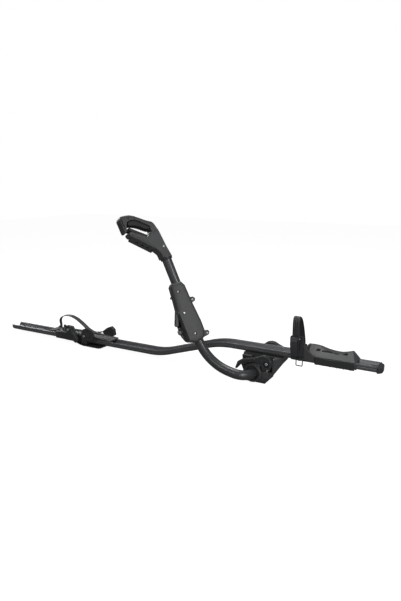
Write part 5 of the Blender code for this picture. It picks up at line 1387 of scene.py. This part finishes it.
    rod_at = CLAW @ Matrix.Translation((-0.0076, 0, 0)) @ axis_frame((0, 0, 0), (0, 1, 0))
    pin("pull_rod", "hook", rod_at, -0.2050, 0.0217, 0.0042)
    at = CLAW @ Matrix.Translation((-0.002, 0.031, 0))
    under = CLAW_HALF + GAP
    bolt("claw_screw_head", "claw", at, CLAW_HALF - 0.0002, under, 0.0036, 0.0019, ("claw_screw",))


# ---------------------------------------------------------------- stage


def make_stage():
    scene = bpy.context.scene
    scene.view_settings.view_transform = "Standard"
    scene.view_settings.look = "None"
    world = bpy.data.worlds.new("studio")
    scene.world = world
    world.use_nodes = True
    tree = world.node_tree
    tree.nodes.clear()
    out = tree.nodes.new("ShaderNodeOutputWorld")
    seen = add(tree, "ShaderNodeBackground", Color=(1.0, 1.0, 1.0, 1.0), Strength=1.0)
    lit = add(tree, "ShaderNodeBackground", Color=(0.97, 0.985, 1.0, 1.0), Strength=0.13)
    path = tree.nodes.new("ShaderNodeLightPath")
    mix = tree.nodes.new("ShaderNodeMixShader")
    tree.links.new(path.outputs["Is Camera Ray"], mix.inputs["Fac"])
    tree.links.new(lit.outputs["Background"], mix.inputs[1])
    tree.links.new(seen.outputs["Background"], mix.inputs[2])
    tree.links.new(mix.outputs["Shader"], out.inputs["Surface"])

    floor = box((-6.0, -4.0, -0.0060), (5.0, 6.0, -0.0010), name="floor_slab")
    floor.name = "floor"
    paper = bpy.data.materials.new("pale_floor")
    paper.use_nodes = True
    tree = paper.node_tree
    shader = tree.nodes["Principled BSDF"]
    shader.inputs["Base Color"].default_value = (0.20, 0.20, 0.20, 1.0)
    shader.inputs["Roughness"].default_value = 0.9
    shader.inputs["Specular IOR Level"].default_value = 0.1
    shader.inputs["Emission Color"].default_value = (1.0, 1.0, 1.0, 1.0)
    shader.inputs["Emission Strength"].default_value = 0.95
    dim = add(tree, "ShaderNodeBsdfDiffuse", Color=(0.22, 0.22, 0.22, 1.0))
    path = tree.nodes.new("ShaderNodeLightPath")
    mix = tree.nodes.new("ShaderNodeMixShader")
    tree.links.new(path.outputs["Is Camera Ray"], mix.inputs["Fac"])
    tree.links.new(dim.outputs["BSDF"], mix.inputs[1])
    tree.links.new(shader.outputs["BSDF"], mix.inputs[2])
    tree.links.new(mix.outputs["Shader"], tree.nodes["Material Output"].inputs["Surface"])
    floor.data.materials.append(paper)

    lamps = (
        ("key", (2.30, -1.10, 1.50), (-0.20, 0.0, 0.15), 0.9, 26.0),
        ("front", (-0.20, -2.40, 1.60), (-0.30, 0.0, 0.15), 0.8, 11.0),
        ("top", (-0.50, 0.50, 2.10), (-0.40, 0.0, 0.10), 1.2, 27.0),
        ("rim", (-2.20, 0.60, 1.00), (-0.40, 0.0, 0.20), 0.6, 14.0),
        ("low", (1.60, -1.50, 0.25), (0.05, 0.0, 0.05), 0.5, 8.0),
    )
    for name, spot, aim, size, power in lamps:
        data = bpy.data.lights.new(name + "_light", "AREA")
        data.shape = "SQUARE"
        data.size = size
        data.energy = power
        lamp = bpy.data.objects.new(name + "_light", data)
        scene.collection.objects.link(lamp)
        lamp.location = spot
        lamp.rotation_euler = (Vector(aim) - Vector(spot)).to_track_quat("-Z", "Y").to_euler()


def make_camera():
    data = bpy.data.cameras.new("camera")
    data.lens = 31.306
    data.sensor_width = 36.0
    data.sensor_fit = "AUTO"
    camera = bpy.data.objects.new("camera", data)
    bpy.context.scene.collection.objects.link(camera)
    spot, aim = Vector((0.5803, -1.4521, 0.6057)), Vector((-0.2246, 0.0, 0.2215))
    camera.location = spot
    camera.rotation_euler = (aim - spot).to_track_quat("-Z", "Y").to_euler()
    bpy.context.scene.camera = camera


make_rail()
make_nose_cap()
make_foot()
make_cam_lever()
make_far_cheek()
make_front_cradle()
make_front_strap()
make_rear_cradle()
make_rear_strap()
make_rear_ratchet()
make_rear_foot()
make_arm_tube()
make_housing()
make_latch_side_shade()
make_arm_details()
make_claw()
make_stage()
make_camera()
